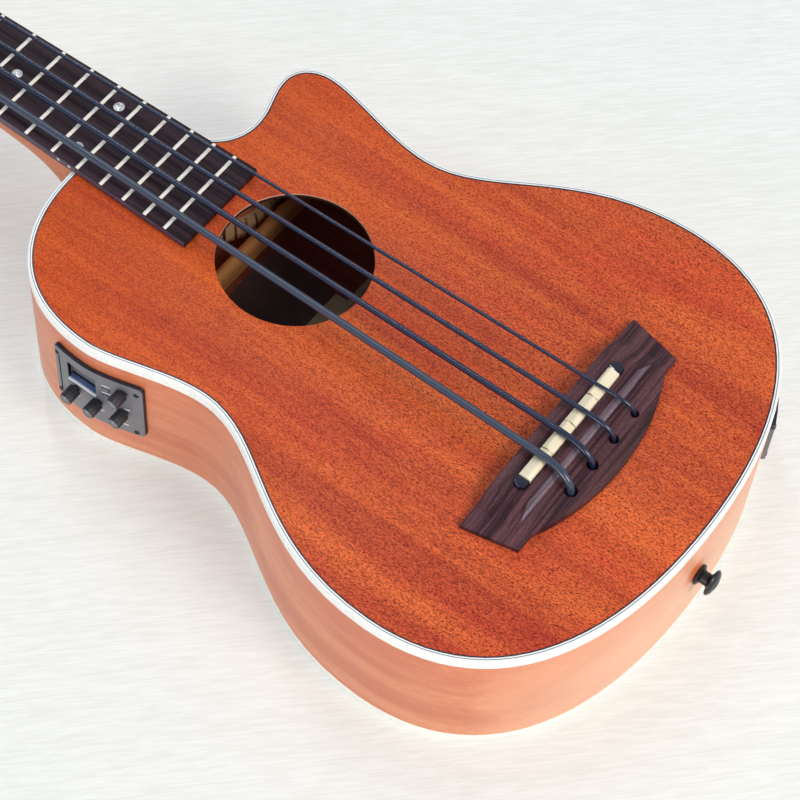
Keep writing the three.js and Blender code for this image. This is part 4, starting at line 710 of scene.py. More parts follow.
def prism(profile, low, high, axis):
    """A closed profile carried along an axis: (y, z) points along x, (x, z) along y or (x, y) along z"""
    return loft([[(*point[:axis], end, *point[axis:]) for point in profile] for end in (low, high)])


def box(low, high):
    (x0, y0, z0), (x1, y1, z1) = low, high
    return prism([(y0, z0), (y1, z0), (y1, z1), (y0, z1)], x0, x1, 0)


def lathe(profile, sides=ROUND_SIDES, lobes=0, depth=0.0):
    """A turned mesh from (radius, height) points, from the axis back to the axis, about Z"""
    points, rings = [], []
    for radius, height in profile:
        count = 1 if radius == 0 else sides
        rings.append(range(len(points), len(points) + count))
        for k in range(count):
            angle = 2 * pi * k / count
            reach = radius - depth * (0.5 - 0.5 * cos(lobes * angle)) if radius > depth * 3 else radius
            points.append((reach * cos(angle), reach * sin(angle), height))
    faces = []
    for low, high in zip(rings, rings[1:]):
        for k in range(sides):
            j = (k + 1) % sides
            corners = [low[k % len(low)], low[j % len(low)], high[j % len(high)], high[k % len(high)]]
            face = list(dict.fromkeys(corners))
            if len(face) > 2:
                faces.append(face)
    return tidy(mesh_of(points, faces))


def slab(loops, low, high, edge=0.0):
    """A flat plate from its outline and its holes, with rounded edges"""
    curve = bpy.data.curves.new("slab", "CURVE")
    curve.dimensions = "2D"
    curve.fill_mode = "BOTH"
    curve.extrude = ((high - low) / 2 - edge) * MM
    curve.bevel_depth = edge * MM
    curve.bevel_resolution = 2
    curve.offset = -edge * MM
    for loop in loops:
        spline = curve.splines.new("POLY")
        spline.points.add(len(loop) - 1)
        for point, (x, y) in zip(spline.points, loop):
            point.co = (x * MM, y * MM, 0, 1)
        spline.use_cyclic_u = True
    mesh = settled(add_object("slab", curve))
    mesh.transform(Matrix.Translation((0, 0, (low + high) / 2 * MM)))
    return tidy(mesh)


def mirrored(half):
    """The other half of a loop, without the point on the middle line"""
    return [(x, -y) for x, y in reversed(half[:-1])]


def circle(x, y, radius, sides):
    return [(x + radius * cos(angle), y + radius * sin(angle)) for angle in swing(0, 360, sides)[:-1]]


def rounded_rectangle(width, height, corner):
    points = []
    for quarter, (side_x, side_y) in enumerate([(1, 1), (-1, 1), (-1, -1), (1, -1)]):
        x, y = side_x * (width / 2 - corner), side_y * (height / 2 - corner)
        turns = swing(90 * quarter, 90 * quarter + 90, CORNER_STEPS)
        points += [(x + corner * cos(angle), y + corner * sin(angle)) for angle in turns]
    return points


def moved(mesh, matrix):
    """A mesh turned and moved by a matrix whose place is in millimetres"""
    metric = matrix.copy()
    metric.translation = metric.translation * MM
    mesh.transform(metric)
    return mesh


def shifted(mesh, x, y=0, z=0):
    return moved(mesh, Matrix.Translation((x, y, z)))


def facing(place, direction):
    """The matrix that turns Z to a direction and X across it"""
    forward = Vector(direction).normalized()
    side = Vector((0, 0, 1)).cross(forward)
    if side.length < 0.01:
        side = Vector((1, 0, 0))
    side.normalize()
    matrix = Matrix((side, forward.cross(side), forward)).transposed().to_4x4()
    matrix.translation = Vector(place)
    return matrix


def joined(*meshes):
    """Several meshes as one, each still whole"""
    work = bmesh.new()
    for mesh in meshes:
        work.from_mesh(mesh)
    result = bpy.data.meshes.new("joined")
    work.to_mesh(result)
    work.free()
    return result


# Body outline, run anticlockwise from the tail by way of the treble side
def body_spans():
    """The step count, the ends and the handles of each span. Every handle runs along X or along Y"""
    run, corner = -CUTAWAY_RUN_Y, HEEL_CORNER_RADIUS
    low, waist, high = LOWER_BOUT_HALF, WAIST_HALF, UPPER_BOUT_HALF
    arc = (QUARTER_ARC_SHARE, QUARTER_ARC_SHARE)
    start = (-TAIL_REACH, 0)
    spans = []
    for steps, ways, shares, end in (
        (24, "yx", TAIL_HANDLE_SHARES, (LOWER_BOUT_X, -low)),
        (16, "xx", LOWER_HANDLE_SHARES, (WAIST_X, -waist)),
        (16, "xx", UPPER_HANDLE_SHARES, (HORN_X, -HORN_HALF)),
        (10, "xy", HORN_HANDLE_SHARES, (HORN_TIP_X, -HORN_TIP_Y)),
        (10, "yy", CUTAWAY_HANDLE_SHARES, (CUTAWAY_X, -CUTAWAY_Y)),
        (14, "yx", RUN_HANDLE_SHARES, (CUTAWAY_RUN_X, run)),
        (2, "", (), (JOINT_X - corner, run)),
        (8, "xy", arc, (JOINT_X, run + corner)),
        (4, "", (), (JOINT_X, HEEL_SEAT_BASS_Y)),
        (24, "yx", SHOULDER_HANDLE_SHARES[::-1], (UPPER_BOUT_X, high)),
        (14, "xx", UPPER_HANDLE_SHARES[::-1], (WAIST_X, waist)),
        (16, "xx", LOWER_HANDLE_SHARES[::-1], (LOWER_BOUT_X, low)),
        (24, "xy", TAIL_HANDLE_SHARES[::-1], (-TAIL_REACH, 0)),
    ):
        handles = []
        for way, share, (x, y), goal in zip(ways, shares, (start, end), (end, start)):
            handles.append((x + (goal[0] - x) * share, y) if way == "x" else (x, y + (goal[1] - y) * share))
        spans.append((steps, start, *handles, end))
        start = end
    return spans


def blend(points, share):
    """The point at a share of the curve that a chain of handles makes"""
    while len(points) > 1:
        points = [a.lerp(b, share) for a, b in zip(points, points[1:])]
    return points[0]


def on_span(points, share):
    """A point and its direction on a line, a quadratic or a cubic"""
    ends = [Vector(point) for point in points]
    slopes = [b - a for a, b in zip(ends, ends[1:])]
    return blend(ends, share), blend(slopes, share).normalized()


OUTLINE_STATIONS = [
    on_span(points, step / steps)
    for steps, *points in body_spans()
    for step in range(steps)
]


def outline(inset):
    """The outline moved inwards by an inset"""
    return [(place.x - way.y * inset, place.y + way.x * inset) for place, way in OUTLINE_STATIONS]


def swept(profile):
    """A closed profile of (inset, z) points carried round the outline"""
    return loft([[(x, y, z) for x, y in outline(inset)] for inset, z in profile], closed=True)


def bass_side(x, outset):
    """Y of the bass side's outer face, moved outwards"""
    points = outline(-outset)
    for (x0, y0), (x1, y1) in zip(points, points[1:]):
        if y0 > HEEL_SEAT_BASS_Y and x1 <= x <= x0:
            return y0 + (y1 - y0) * (x0 - x) / (x0 - x1)
    return UPPER_BOUT_HALF + outset


def fret_x(number):
    return SCALE_LENGTH * 2 ** (-number / 12)


FRETBOARD_END_X = fret_x(FRET_COUNT) - 12.4


def board_half(x):
    share = (SCALE_LENGTH - x) / (SCALE_LENGTH - FRETBOARD_END_X)
    return FRETBOARD_NUT_HALF + (FRETBOARD_END_HALF - FRETBOARD_NUT_HALF) * share


def across(index, spacing):
    return (1.5 - index) * spacing


def tail_side(reach):
    """The matrix of a place on the tail side, by its way from the strap button: along, up and outwards"""
    points = body_spans()[0][1:]
    passed, share, step = 0.0, 0.0, 0.002
    place, way = on_span(points, share)
    while passed < reach:
        share += step
        after, way = on_span(points, share)
        passed += (after - place).length
        place = after
    matrix = Matrix(((way.x, 0, way.y), (way.y, 0, -way.x), (0, 1, 0))).to_4x4()
    matrix.translation = (place.x, place.y, JACK_PLATE_Z)
    return matrix


JACK_PLATE = tail_side(JACK_PLATE_REACH)
JACK = tail_side(JACK_PLATE_REACH + JACK_ALONG)
BATTERY = tail_side(JACK_PLATE_REACH - BATTERY_BOX_BACK)
HEAD = Matrix.Translation((HEAD_X, 0, TOP_Z)) @ Matrix.Rotation(HEAD_ANGLE, 4, "Y")


def screw(place, direction, radius, turn=0.6):
    """A domed screw head with a cross slot"""
    rise = radius * 0.35
    dome = [(radius * cos(angle), rise * sin(angle)) for angle in swing(0, 90, 4)[:-1]]
    head = lathe([(0, -rise), (radius, -rise), *dome, (0, rise)], 24)
    arm, half, floor = radius * 0.7, radius * 0.14, rise * 0.3
    slots = [box((-x, -y, floor), (x, y, OVERRUN)) for x, y in ((arm, half), (half, arm))]
    return moved(carve(head, *slots), facing(place, direction) @ Matrix.Rotation(turn, 4, "Z"))


# Body
def make_plates():
    holes = [
        circle(-STRING_HOLE_X, across(k, STRING_REAR_PITCH), STRING_DIAMETERS[k] / 2 + STRING_HOLE_PLAY, 24)
        for k in range(4)
    ]
    sound_hole = circle(SOUND_HOLE_X, 0, SOUND_HOLE_RADIUS, 128)
    top = slab([outline(BLACK_INSETS[1]), sound_hole, *holes], TOP_UNDERSIDE_Z, TOP_Z, 0.12)
    reach = SOUND_HOLE_RADIUS + 1

    def in_hole(centre, normal):
        return abs(normal.z) < 0.5 and hypot(centre.x - SOUND_HOLE_X, centre.y) < reach

    piece("top_plate", top, "top", nodes=["soundboard"], smooth=50, parts=[("edge", in_hole)])
    back = slab([outline(BACK_BINDING_WIDTH)], 0, BACK_THICKNESS)
    inner_face = ("inner", lambda centre, normal: normal.z > 0.5)
    piece("back_panel", back, "top", nodes=["back_plate"], parts=[inner_face])


def make_bindings():
    low, ledge, edge = TOP_Z - BINDING_HEIGHT, TOP_Z - PURFLING_DEPTH, BINDING_ROUND
    rounded = [(edge - edge * sin(a), TOP_Z - edge + edge * cos(a)) for a in swing(90, 0, 4)]
    shelf = [(LINE_INSETS[0], TOP_Z), (LINE_INSETS[0], ledge), (BINDING_WIDTH, ledge), (BINDING_WIDTH, low)]
    piece("top_binding_strip", swept([(0, low), *rounded, *shelf]), "white", nodes=["top_binding"])
    for name, look, (first, last) in (
        ("purfling_line", "line", LINE_INSETS),
        ("purfling_pale", "white", PALE_INSETS),
        ("purfling_black", "black_line", BLACK_INSETS),
    ):
        piece(name, swept([(first, ledge), (first, TOP_Z), (last, TOP_Z), (last, ledge)]), look)
    edge, face, shelf = BACK_BINDING_ROUND, -BACK_BINDING_LIP, BACK_BINDING_LEDGE
    rounded = [(face, edge), (edge * 0.3, edge * 0.3), (edge, 0)]
    foot = [(BACK_BINDING_WIDTH, 0), (BACK_BINDING_WIDTH, BACK_THICKNESS), (shelf, BACK_THICKNESS)]
    profile = [(shelf, BACK_BINDING_TOP), (face, BACK_BINDING_TOP), *rounded, *foot]
    piece("back_binding_strip", swept(profile), "cream", nodes=["back_binding"])


def housing_box(grow):
    half = PANEL_WIDTH / 2 - PANEL_RIM_INSET + grow
    low = PANEL_Z - PANEL_HEIGHT / 2 + PANEL_HOUSING_FOOT - grow
    high = PANEL_Z + PANEL_HEIGHT / 2 - PANEL_RIM_INSET + grow
    deep = WAIST_HALF - PANEL_HOUSING_DEPTH
    return (PANEL_X - half, deep, low), (PANEL_X + half, UPPER_BOUT_HALF + OVERRUN, high)


def rod(start, end, radius, sides=ROUND_SIDES):
    along = Vector(end) - Vector(start)
    blank = lathe([(0, 0), (radius, 0), (radius, along.length), (0, along.length)], sides)
    return moved(blank, facing(start, along))


def battery_box(gap, outer):
    width, height, depth = BATTERY_BOX
    low = (-width / 2 - gap, -height / 2 - gap, -depth)
    high = (width / 2 + gap, height / 2 + gap, outer)
    return moved(box(low, high), BATTERY)


def make_rim():
    low, high = BACK_THICKNESS, TOP_Z - BINDING_HEIGHT
    wall = swept([(0, low), (0, high), (RIM_THICKNESS, high), (RIM_THICKNESS, low)])
    barrel = rod((0, 0, -JACK_BARREL_LENGTH), (0, 0, OVERRUN), JACK_BARREL_RADIUS + JACK_HOLE_PLAY)
    tail, through = -TAIL_REACH - OVERRUN, -TAIL_REACH + OVERRUN
    openings = [
        box(*housing_box(HOUSING_HOLE_PLAY)),
        moved(barrel, JACK),
        battery_box(JACK_HOLE_PLAY, OVERRUN),
        rod((tail, 0, STRAP_Z), (through, 0, STRAP_Z), STRAP_HOLE_RADIUS, 24),
    ]
    piece("rim_wall", carve(wall, *openings), "side", nodes=["side_rim"], smooth=30)


def even_stations(inset, spacing):
    """Points and directions at even steps along the outline"""
    points = [Vector(point) for point in outline(inset)]
    points.append(points[0])
    lengths = [(b - a).length for a, b in zip(points, points[1:])]
    total = sum(lengths)
    count = round(total / spacing)
    stations, k, passed = [], 0, 0.0
    for step in range(count):
        target = total * step / count
        while passed + lengths[k] < target:
            passed += lengths[k]
            k += 1
        way = points[k + 1] - points[k]
        stations.append((points[k] + way * (target - passed) / lengths[k], way.normalized()))
    return stations


def make_linings():
    """Strips with kerfed blocks on them. A block is a five-sided section, twice"""
    inner = LINING_INSET + LINING_STRIP
    half, depth = (KERF_PITCH - KERF_WIDTH) / 2, LINING_WIDTH - LINING_STRIP
    section = ((0, 0), (depth, 0), (depth, 0.45), (0.6, 0.97), (0, 0.97))
    count = len(section)
    for name, seat, rise, cad in (
        ("top_kerfed_lining", TOP_UNDERSIDE_Z, -1, "top_lining"),
        ("back_kerfed_lining", BACK_THICKNESS, 1, "back_lining"),
    ):
        far = seat + rise * LINING_HEIGHT
        strip = swept([(LINING_INSET, seat), (LINING_INSET, far), (inner, far), (inner, seat)])
        points, faces = [], []
        for place, way in even_stations(inner, KERF_PITCH):
            inward = Vector((-way.y, way.x))
            start = len(points)
            for along in (-half, half):
                for reach, height in section:
                    point = place + way * along + inward * reach
                    points.append((point.x, point.y, seat + rise * LINING_HEIGHT * height))
            near, far_end = ([start + end + k for k in range(count)] for end in (0, count))
            faces += [tuple(near), tuple(far_end)]
            faces += zip(near, near[1:] + near[:1], far_end[1:] + far_end[:1], far_end)
        piece(name, joined(strip, tidy(mesh_of(points, faces))), "pale", nodes=[cad])


def brace_from(node_name, name, look="brace"):
    """A brace of the node's own reach with a rounded back"""
    low, high = (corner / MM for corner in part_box(node_name))
    under = low.z > TOP_Z / 2
    seat, crest = (high.z, low.z) if under else (low.z, high.z)
    half, middle = (high.x - low.x) / 2 - BRACE_SLIMMING, (high.x + low.x) / 2
    arch = [(half * cos(a), 0.6 + 0.4 * sin(a)) for a in swing(180, 0, 8)]
    section = [(-half, 0), *arch, (half, 0)]
    tip, run = BRACE_TIP_SHARE, BRACE_TIP_RUN
    rings = []
    for k in range(25):
        y = low.y + (high.y - low.y) * k / 24
        rise = min((y - low.y) / run, (high.y - y) / run, 1)
        eased = rise * rise * (3 - 2 * rise)
        height = (crest - seat) * (tip + (1 - tip) * min(eased, rise))
        rings.append([(middle + x, y, seat + height * z) for x, z in section])
    piece(name, loft(rings), look, nodes=[node_name])


def make_inside():
    """Braces, blank papers, and looks for the inner parts that stay as they are in the CAD"""
    brace_from("top_brace", "soundboard_brace")
    brace_from("back_brace_lower", "lower_back_brace", "brace_pale")
    brace_from("back_brace_upper", "upper_back_brace")
    for name, look, middle, width in PAPERS:
        loop = rounded_rectangle(width, PAPER_LENGTH, PAPER_CORNER)
        paper = slab([loop], BACK_THICKNESS, BACK_THICKNESS + PAPER_THICKNESS)
        piece(name, shifted(paper, middle), look)
    kept = {"neck_block": "pale", "tail_block": "pale", "bridge_plate": "brace", "saddle_pickup": "braid"}
    for name, look in kept.items():
        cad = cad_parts[name]
        cad.data.materials.clear()
        cad.data.materials.append(LOOKS[look])


# Neck
def neck_ring(x):
    half = board_half(min(x, SCALE_LENGTH))
    share = (x - JOINT_X) / (SCALE_LENGTH - JOINT_X)
    shaft = NECK_DEPTH_AT_HEEL + (NECK_DEPTH_AT_NUT - NECK_DEPTH_AT_HEEL) * share
    depth = shaft + (HEEL_DEPTH - shaft) * exp(-(x - JOINT_X) / HEEL_RUN)
    edge = TOP_Z - NECK_EDGE_HEIGHT
    low = [
        (x, -half * cos(a), max(edge - (depth - NECK_EDGE_HEIGHT) * sin(a), HEEL_FOOT_Z))
        for a in swing(0, 180, 28)
    ]
    return [(x, -half, TOP_Z), *low, (x, half, TOP_Z)]


def head_outline():
    flare, tip = HEAD_FLARE_LENGTH, HEAD_LENGTH - HEAD_TIP_RISE
    near, far, root = HEAD_NEAR_HALF, HEAD_FAR_HALF, FRETBOARD_NUT_HALF
    shoulder = far - HEAD_TIP_RADIUS
    half = [(-HEAD_ROOT, root)]
    for handles, first, last, steps in (
        ([(0, root), (flare / 2, root), (flare / 2, near), (flare, near)], 0, 12, 12),
        ([(tip - HEAD_TIP_RADIUS, far), (tip, far), (tip, shoulder)], 0, 8, 8),
        ([(tip, shoulder), (HEAD_LENGTH, 0), (tip, -shoulder)], 1, 8, 16),
    ):
        half += [tuple(on_span(handles, k / steps)[0]) for k in range(first, last + 1)]
    return half + mirrored(half)


def post_place(index):
    near = index in (0, 3)
    side = 1 if index < 2 else -1
    reach, half = NEAR_POST if near else FAR_POST
    return reach, side * half, side


def make_neck():
    """Shaft, heel and headstock in one, and the small cover on the headstock"""
    runs = [JOINT_X + HEEL_RUN * share for share in NECK_STATIONS]
    runs += [runs[-1] + (SCALE_LENGTH - runs[-1]) * k / 5 for k in range(1, 6)] + [HEAD_X + HEAD_ROOT]
    shaft = loft([neck_ring(x) for x in runs])
    head = moved(bevelled(slab([head_outline()], -HEAD_THICKNESS, 0), 1.4, 3), HEAD)
    half, thick = HEAD_NEAR_HALF, HEAD_THICKNESS
    above = box((0, -half, TOP_Z), (HEAD_X, half, TOP_Z + thick))
    over = moved(box((0, -half, 0), (HEAD_LENGTH, half, thick)), HEAD)
    posts = []
    for k in range(4):
        u, v, _ = post_place(k)
        hole = rod((u, v, -thick - OVERRUN), (u, v, OVERRUN), POST_SHANK_RADIUS + RUN_GAP, 32)
        posts.append(moved(hole, HEAD))
    whole = carve(carve(shaft, head, how="UNION"), above, over, *posts)
    piece("neck_shaft", whole, "neck", nodes=["neck"], smooth=40)
    cover = bevelled(prism(COVER_OUTLINE, 0, COVER_THICKNESS, 2), 0.5)
    piece("truss_rod_cover", moved(cover, HEAD), "gloss")
    for number, (u, v) in enumerate(COVER_SCREWS, 1):
        head = screw((u, v, COVER_THICKNESS + 0.1), (0, 0, 1), COVER_SCREW_RADIUS)
        piece(f"truss_cover_screw_{number}", moved(head, HEAD), "metal")


def make_fretboard():
    (x0, half0), (x1, half1) = (FRETBOARD_END_X, FRETBOARD_END_HALF), (SCALE_LENGTH, FRETBOARD_NUT_HALF)
    plan = [(x0, -half0), (x1, -half1), (x1, half1), (x0, half0)]
    board = bevelled(prism(plan, TOP_Z, FRETBOARD_TOP_Z, 2), 0.45, 2)
    # The sides take the painted sheen look
    sides = [("board_painted_sheen", lambda centre, normal: abs(normal.y) > 0.5)]
    piece("board", board, "board", nodes=["fretboard"], parts=sides)
    for number in range(1, FRET_COUNT + 1):
        make_fret(number)
    middles = {n: (fret_x(n) + fret_x(n - 1)) / 2 for n in (*DOT_FRETS, DOUBLE_DOT_FRET)}
    middle = middles.pop(DOUBLE_DOT_FRET)
    dots = [(f"dot_{n}", x, 0) for n, x in middles.items()]
    dots += [("dot_12_bass", middle, DOUBLE_DOT_Y), ("dot_12_treble", middle, -DOUBLE_DOT_Y)]
    radius = DOT_RADIUS
    for name, x, y in dots:
        disc = lathe([(0, -1), (radius, -1), (radius, 0.02), (radius - 0.15, 0.06), (0, 0.06)], 40)
        piece(name, shifted(disc, x, y, FRETBOARD_TOP_Z), "pearl")
    side_dots = [(f"side_dot_{n}", x) for n, x in middles.items()]
    spread = SIDE_DOT_SPREAD
    side_dots += [("side_dot_12_near", middle - spread), ("side_dot_12_far", middle + spread)]
    for name, x in side_dots:
        place = (x, board_half(x) - 1, TOP_Z + FRETBOARD_THICKNESS * 0.55)
        disc = lathe([(0, 0), (SIDE_DOT_RADIUS, 0), (SIDE_DOT_RADIUS, 1.02), (0, 1.04)], 20)
        piece(name, moved(disc, facing(place, (0, 1, 0))), "pearl")


def make_fret(number):
    """A crowned wire with rounded ends"""
    x, half = fret_x(number), board_half(fret_x(number)) - FRET_END_INSET
    wide, foot = FRET_WIDTH / 2, FRETBOARD_TOP_Z - 0.4
    rings = []
    stations = (-half, -half + 0.25, -half + 0.8, half - 0.8, half - 0.25, half)
    for y, share in zip(stations, (0.25, 0.75, 1, 1, 0.75, 0.25)):
        tall = FRET_HEIGHT * share
        crown = [(x + wide * cos(a), y, FRETBOARD_TOP_Z + tall * sin(a)) for a in swing(0, 180, 10)]
        rings.append([*crown, (x - wide, y, foot), (x + wide, y, foot)])
    piece(f"fret_wire_{number:02d}", loft(rings), "fret", nodes=[f"fret_{number:02d}"], smooth=45)


def make_nut():
    half, far = FRETBOARD_NUT_HALF, HEAD_X + OVERRUN
    blank = bevelled(box((SCALE_LENGTH, -half, TOP_Z), (HEAD_X, half, TOP_Z + NUT_HEIGHT)), 0.6)
    near, grooves = SCALE_LENGTH - OVERRUN, []
    for k in range(4):
        y, radius = across(k, STRING_NUT_PITCH), STRING_DIAMETERS[k] / 2 + STRING_GAP
        z = NUT_GROOVE_Z + radius
        grooves.append(rod((near, y, z), (far, y, z), radius, 32))
        grooves.append(box((near, y - radius, z), (far, y + radius, TOP_Z + 3 * OVERRUN)))
    piece("nut_block", carve(blank, *grooves), "bone", nodes=["nut"])


# Bridge
def bridge_outline():
    start, end = BELLY_HANDLE_SHARES
    wing, inner, tail = -BRIDGE_WING_X, BRIDGE_WING_INNER_HALF, -BRIDGE_BELLY_X
    shoulder = (wing + (tail - wing) * start, inner * (1 - start / 2))
    belly = [(wing, inner), shoulder, (tail, inner * end), (tail, 0)]
    half = [(BRIDGE_FRONT_X, BRIDGE_FRONT_HALF), (wing, BRIDGE_WING_HALF)]
    half += [tuple(on_span(belly, k / 20)[0]) for k in range(21)]
    return half + mirrored(half)


def make_bridge():
    """A block with sloped wings and belly, a saddle slot and four string holes"""
    height, high = TOP_Z + BRIDGE_HEIGHT, TOP_Z + BRIDGE_HEIGHT + OVERRUN
    wing, rear, edge = (TOP_Z + h for h in (BRIDGE_WING_HEIGHT, BRIDGE_REAR_HEIGHT, BRIDGE_BELLY_EDGE_HEIGHT))
    outer, tail, end = BRIDGE_FRONT_HALF + OVERRUN, -BRIDGE_BELLY_X - OVERRUN, -BRIDGE_BELLY_X
    crest, slope = BRIDGE_PLATEAU_HALF, BRIDGE_PLATEAU_HALF + BRIDGE_SLOPE_LENGTH
    brow, foot, belly = -BRIDGE_BEVEL_X, -BRIDGE_BEVEL_X - BRIDGE_BEVEL_LENGTH, end + BRIDGE_BELLY_BEVEL
    tools = []
    for side in (-1, 1):
        profile = [(crest, height), (slope, wing), (outer, wing), (outer, high), (crest, high)]
        tools.append(prism([(side * y, z) for y, z in profile], tail, BRIDGE_FRONT_X + OVERRUN, 0))
    slant = [(end, edge), (belly, rear), (foot, rear), (brow, height)]
    tools.append(prism([(brow, high), (tail, high), (tail, edge), *slant], -outer, outer, 1))
    body = bevelled(carve(slab([bridge_outline()], TOP_Z, height), *tools), 0.35, 2, 14)
    width = SADDLE_WIDTH + 2 * EDGE_GAP
    plan = rounded_rectangle(width, SADDLE_SLOT_LENGTH, width / 2 - 0.01)
    cuts = [shifted(slab([plan], TOP_Z + SADDLE_SLOT_FLOOR, high), SADDLE_FRONT_X - SADDLE_WIDTH / 2)]
    for k in range(4):
        x, y = -STRING_HOLE_X, across(k, STRING_REAR_PITCH)
        radius = STRING_DIAMETERS[k] / 2 + STRING_HOLE_PLAY
        cuts.append(rod((x, y, TOP_Z - OVERRUN), (x, y, high), radius, 32))
        flare = [(0, 0), (radius, 0), (radius + 0.6, 0.6), (radius + 0.6, OVERRUN), (0, OVERRUN)]
        cuts.append(shifted(lathe(flare, 32), x, y, rear - 0.4))

    def on_bevel(centre, normal):
        return foot - 0.5 < centre.x < brow + 0.5 and normal.x < -0.4 and normal.z > 0.4

    def on_belly(centre, normal):
        return centre.x < belly and normal.x < -0.3 or centre.z < edge

    # The bevel behind the saddle takes the painted sheen look
    parts = [("bevel", on_bevel), ("belly", on_belly)]
    piece("bridge_block", carve(body, *cuts), "bridge", nodes=["bridge"], smooth=25, parts=parts)


def crown_x(index):
    return SADDLE_FRONT_X - SADDLE_WIDTH * CROWN_SHARES[index]


def make_saddle():
    front, rear, top = SADDLE_FRONT_X, SADDLE_FRONT_X - SADDLE_WIDTH, SADDLE_TOP_Z
    seat, shoulder = TOP_Z + SADDLE_SLOT_FLOOR + PICKUP_THICKNESS, top - SADDLE_CROWN_DROP
    length = SADDLE_LENGTH / 4

    def on_step(centre, normal):
        return abs(normal.y) > 0.5 and abs(centre.y) < SADDLE_LENGTH / 2 - 1

    for k, name in enumerate(STRING_NAMES):
        crown = crown_x(k)
        peak = [(crown + 0.35, top - 0.08), (crown, top), (crown - 0.35, top - 0.08)]
        profile = [(rear, seat), (front, seat), (front, shoulder), *peak, (rear, shoulder)]
        high = SADDLE_LENGTH / 2 - SADDLE_STEP_GAP / 2 - length * k
        block = bevelled(prism(profile, high - length + SADDLE_STEP_GAP, high, 1), 0.2, 2, 35)
        nodes = ["saddle"] if k == 0 else []
        piece(f"saddle_{name}", block, "bone", nodes=nodes, smooth=30, parts=[("bone_step", on_step)])
    for name, side in (("bass", 1), ("treble", -1)):
        make_saddle_cap(name, side)


def make_saddle_cap(name, side):
    """The rounded black end of the saddle, filling the slot's round end"""
    half = SADDLE_WIDTH / 2
    start, straight = SADDLE_LENGTH / 2 + 0.1, SADDLE_SLOT_LENGTH / 2 - EDGE_GAP - half
    arc = [(half * cos(a), straight + half * sin(a)) for a in swing(0, 180, 12)]
    loop = [(SADDLE_FRONT_X - half + x, side * y) for x, y in [(half, start), *arc, (-half, start)]]
    block = slab([loop], TOP_Z + SADDLE_SLOT_FLOOR + 0.2, TOP_Z + SADDLE_CAP_HEIGHT)
    piece(f"saddle_cap_{name}", bevelled(block, 0.9, 4, 40), "cap", smooth=50)


# Strings
def curve_through(points, parts):
    """Points on a centripetal curve through given stations"""
    stations = [Vector(point) for point in points]
    first = stations[0] * 2 - stations[1]
    last = stations[-1] * 2 - stations[-2]
    padded = [first, *stations, last]
    result = []
    for p0, p1, p2, p3 in zip(padded, padded[1:], padded[2:], padded[3:]):
        d0, d1, d2 = (max((b - a).length, 1e-4) ** 0.5 for a, b in ((p0, p1), (p1, p2), (p2, p3)))
        m1 = ((p1 - p0) / d0 - (p2 - p0) / (d0 + d1) + (p2 - p1) / d1) * d1
        m2 = ((p2 - p1) / d1 - (p3 - p1) / (d1 + d2) + (p3 - p2) / d2) * d1
        for k in range(parts):
            t = k / parts
            result.append(p1 * (2 * t**3 - 3 * t**2 + 1) + m1 * (t**3 - 2 * t**2 + t)
                          + p2 * (3 * t**2 - 2 * t**3) + m2 * (t**3 - t**2))
    result.append(stations[-1])
    return result


def winding(index):
    """The string's turns around its post"""
    u, v, side = post_place(index)
    diameter = STRING_DIAMETERS[index]
    radius = POST_RADIUS + STRING_GAP + diameter / 2
    floor, rise = WIND_FLOOR + diameter / 2, (diameter + WIND_PITCH_EXTRA) * WIND_TURNS
    steps = round(WIND_TURNS * WIND_TURN_STEPS)
    points = []
    for k, angle in enumerate(swing(0, 360 * WIND_TURNS, steps)):
        place = (u + radius * sin(angle), v - side * radius * cos(angle), floor + rise * (1 - k / steps))
        points.append(HEAD @ Vector(place))
    return points


def string_stations(index):
    """Points from the knot over the saddle and the nut to the end on the post"""
    radius = STRING_DIAMETERS[index] / 2
    pitches = STRING_REAR_PITCH, STRING_SADDLE_PITCH, STRING_NUT_PITCH
    hole_y, saddle_y, nut_y = (across(index, pitch) for pitch in pitches)
    nut_z = NUT_GROOVE_Z + radius + STRING_GAP
    nut, past = Vector((SCALE_LENGTH, nut_y, nut_z)), Vector((HEAD_X, nut_y, nut_z))
    crown = Vector((crown_x(index), saddle_y, SADDLE_TOP_Z + STRING_GAP + radius))
    mouth = Vector((-STRING_HOLE_X, hole_y, TOP_Z + BRIDGE_REAR_HEIGHT - STRING_BEND_DROP))
    knot_z = TOP_UNDERSIDE_Z - BRIDGE_PLATE_THICKNESS - STRING_KNOT_EXTRA - radius
    knot = Vector((-STRING_HOLE_X, hole_y, knot_z))
    rise, lean = BEND_HANDLES
    arc = [mouth, mouth + Vector((0, 0, rise)), crown + (crown - nut).normalized() * lean, crown]
    stations = [knot, mouth.lerp(knot, 1 / 3)] + [blend(arc, k / 12) for k in range(13)]
    stations += [crown.lerp(nut, share) for share in (1 / 16, 1 / 4, 1 / 2, 3 / 4)] + [nut, past]
    wound = winding(index)
    return stations + [past.lerp(wound[0], 1 / 4), past.lerp(wound[0], 3 / 4)] + wound


def tube(path, radius, sides):
    """A round tube along points, with domed ends"""
    last = len(path) - 1
    ways = [(path[min(k + 1, last)] - path[max(k - 1, 0)]).normalized() for k in range(last + 1)]
    side = ways[0].orthogonal()
    rings = []
    for place, way in zip(path, ways):
        side = (side - way * side.dot(way)).normalized()
        other = way.cross(side)
        rings.append([place + (side * cos(a) + other * sin(a)) * radius for a in swing(0, 360, sides)[:-1]])
    start, end = (
        [place + (point - place) * 0.6 + way * radius * 0.3 for point in ring]
        for place, way, ring in ((path[0], -ways[0], rings[0]), (path[-1], ways[-1], rings[-1]))
    )
    return loft([start, *rings, end])


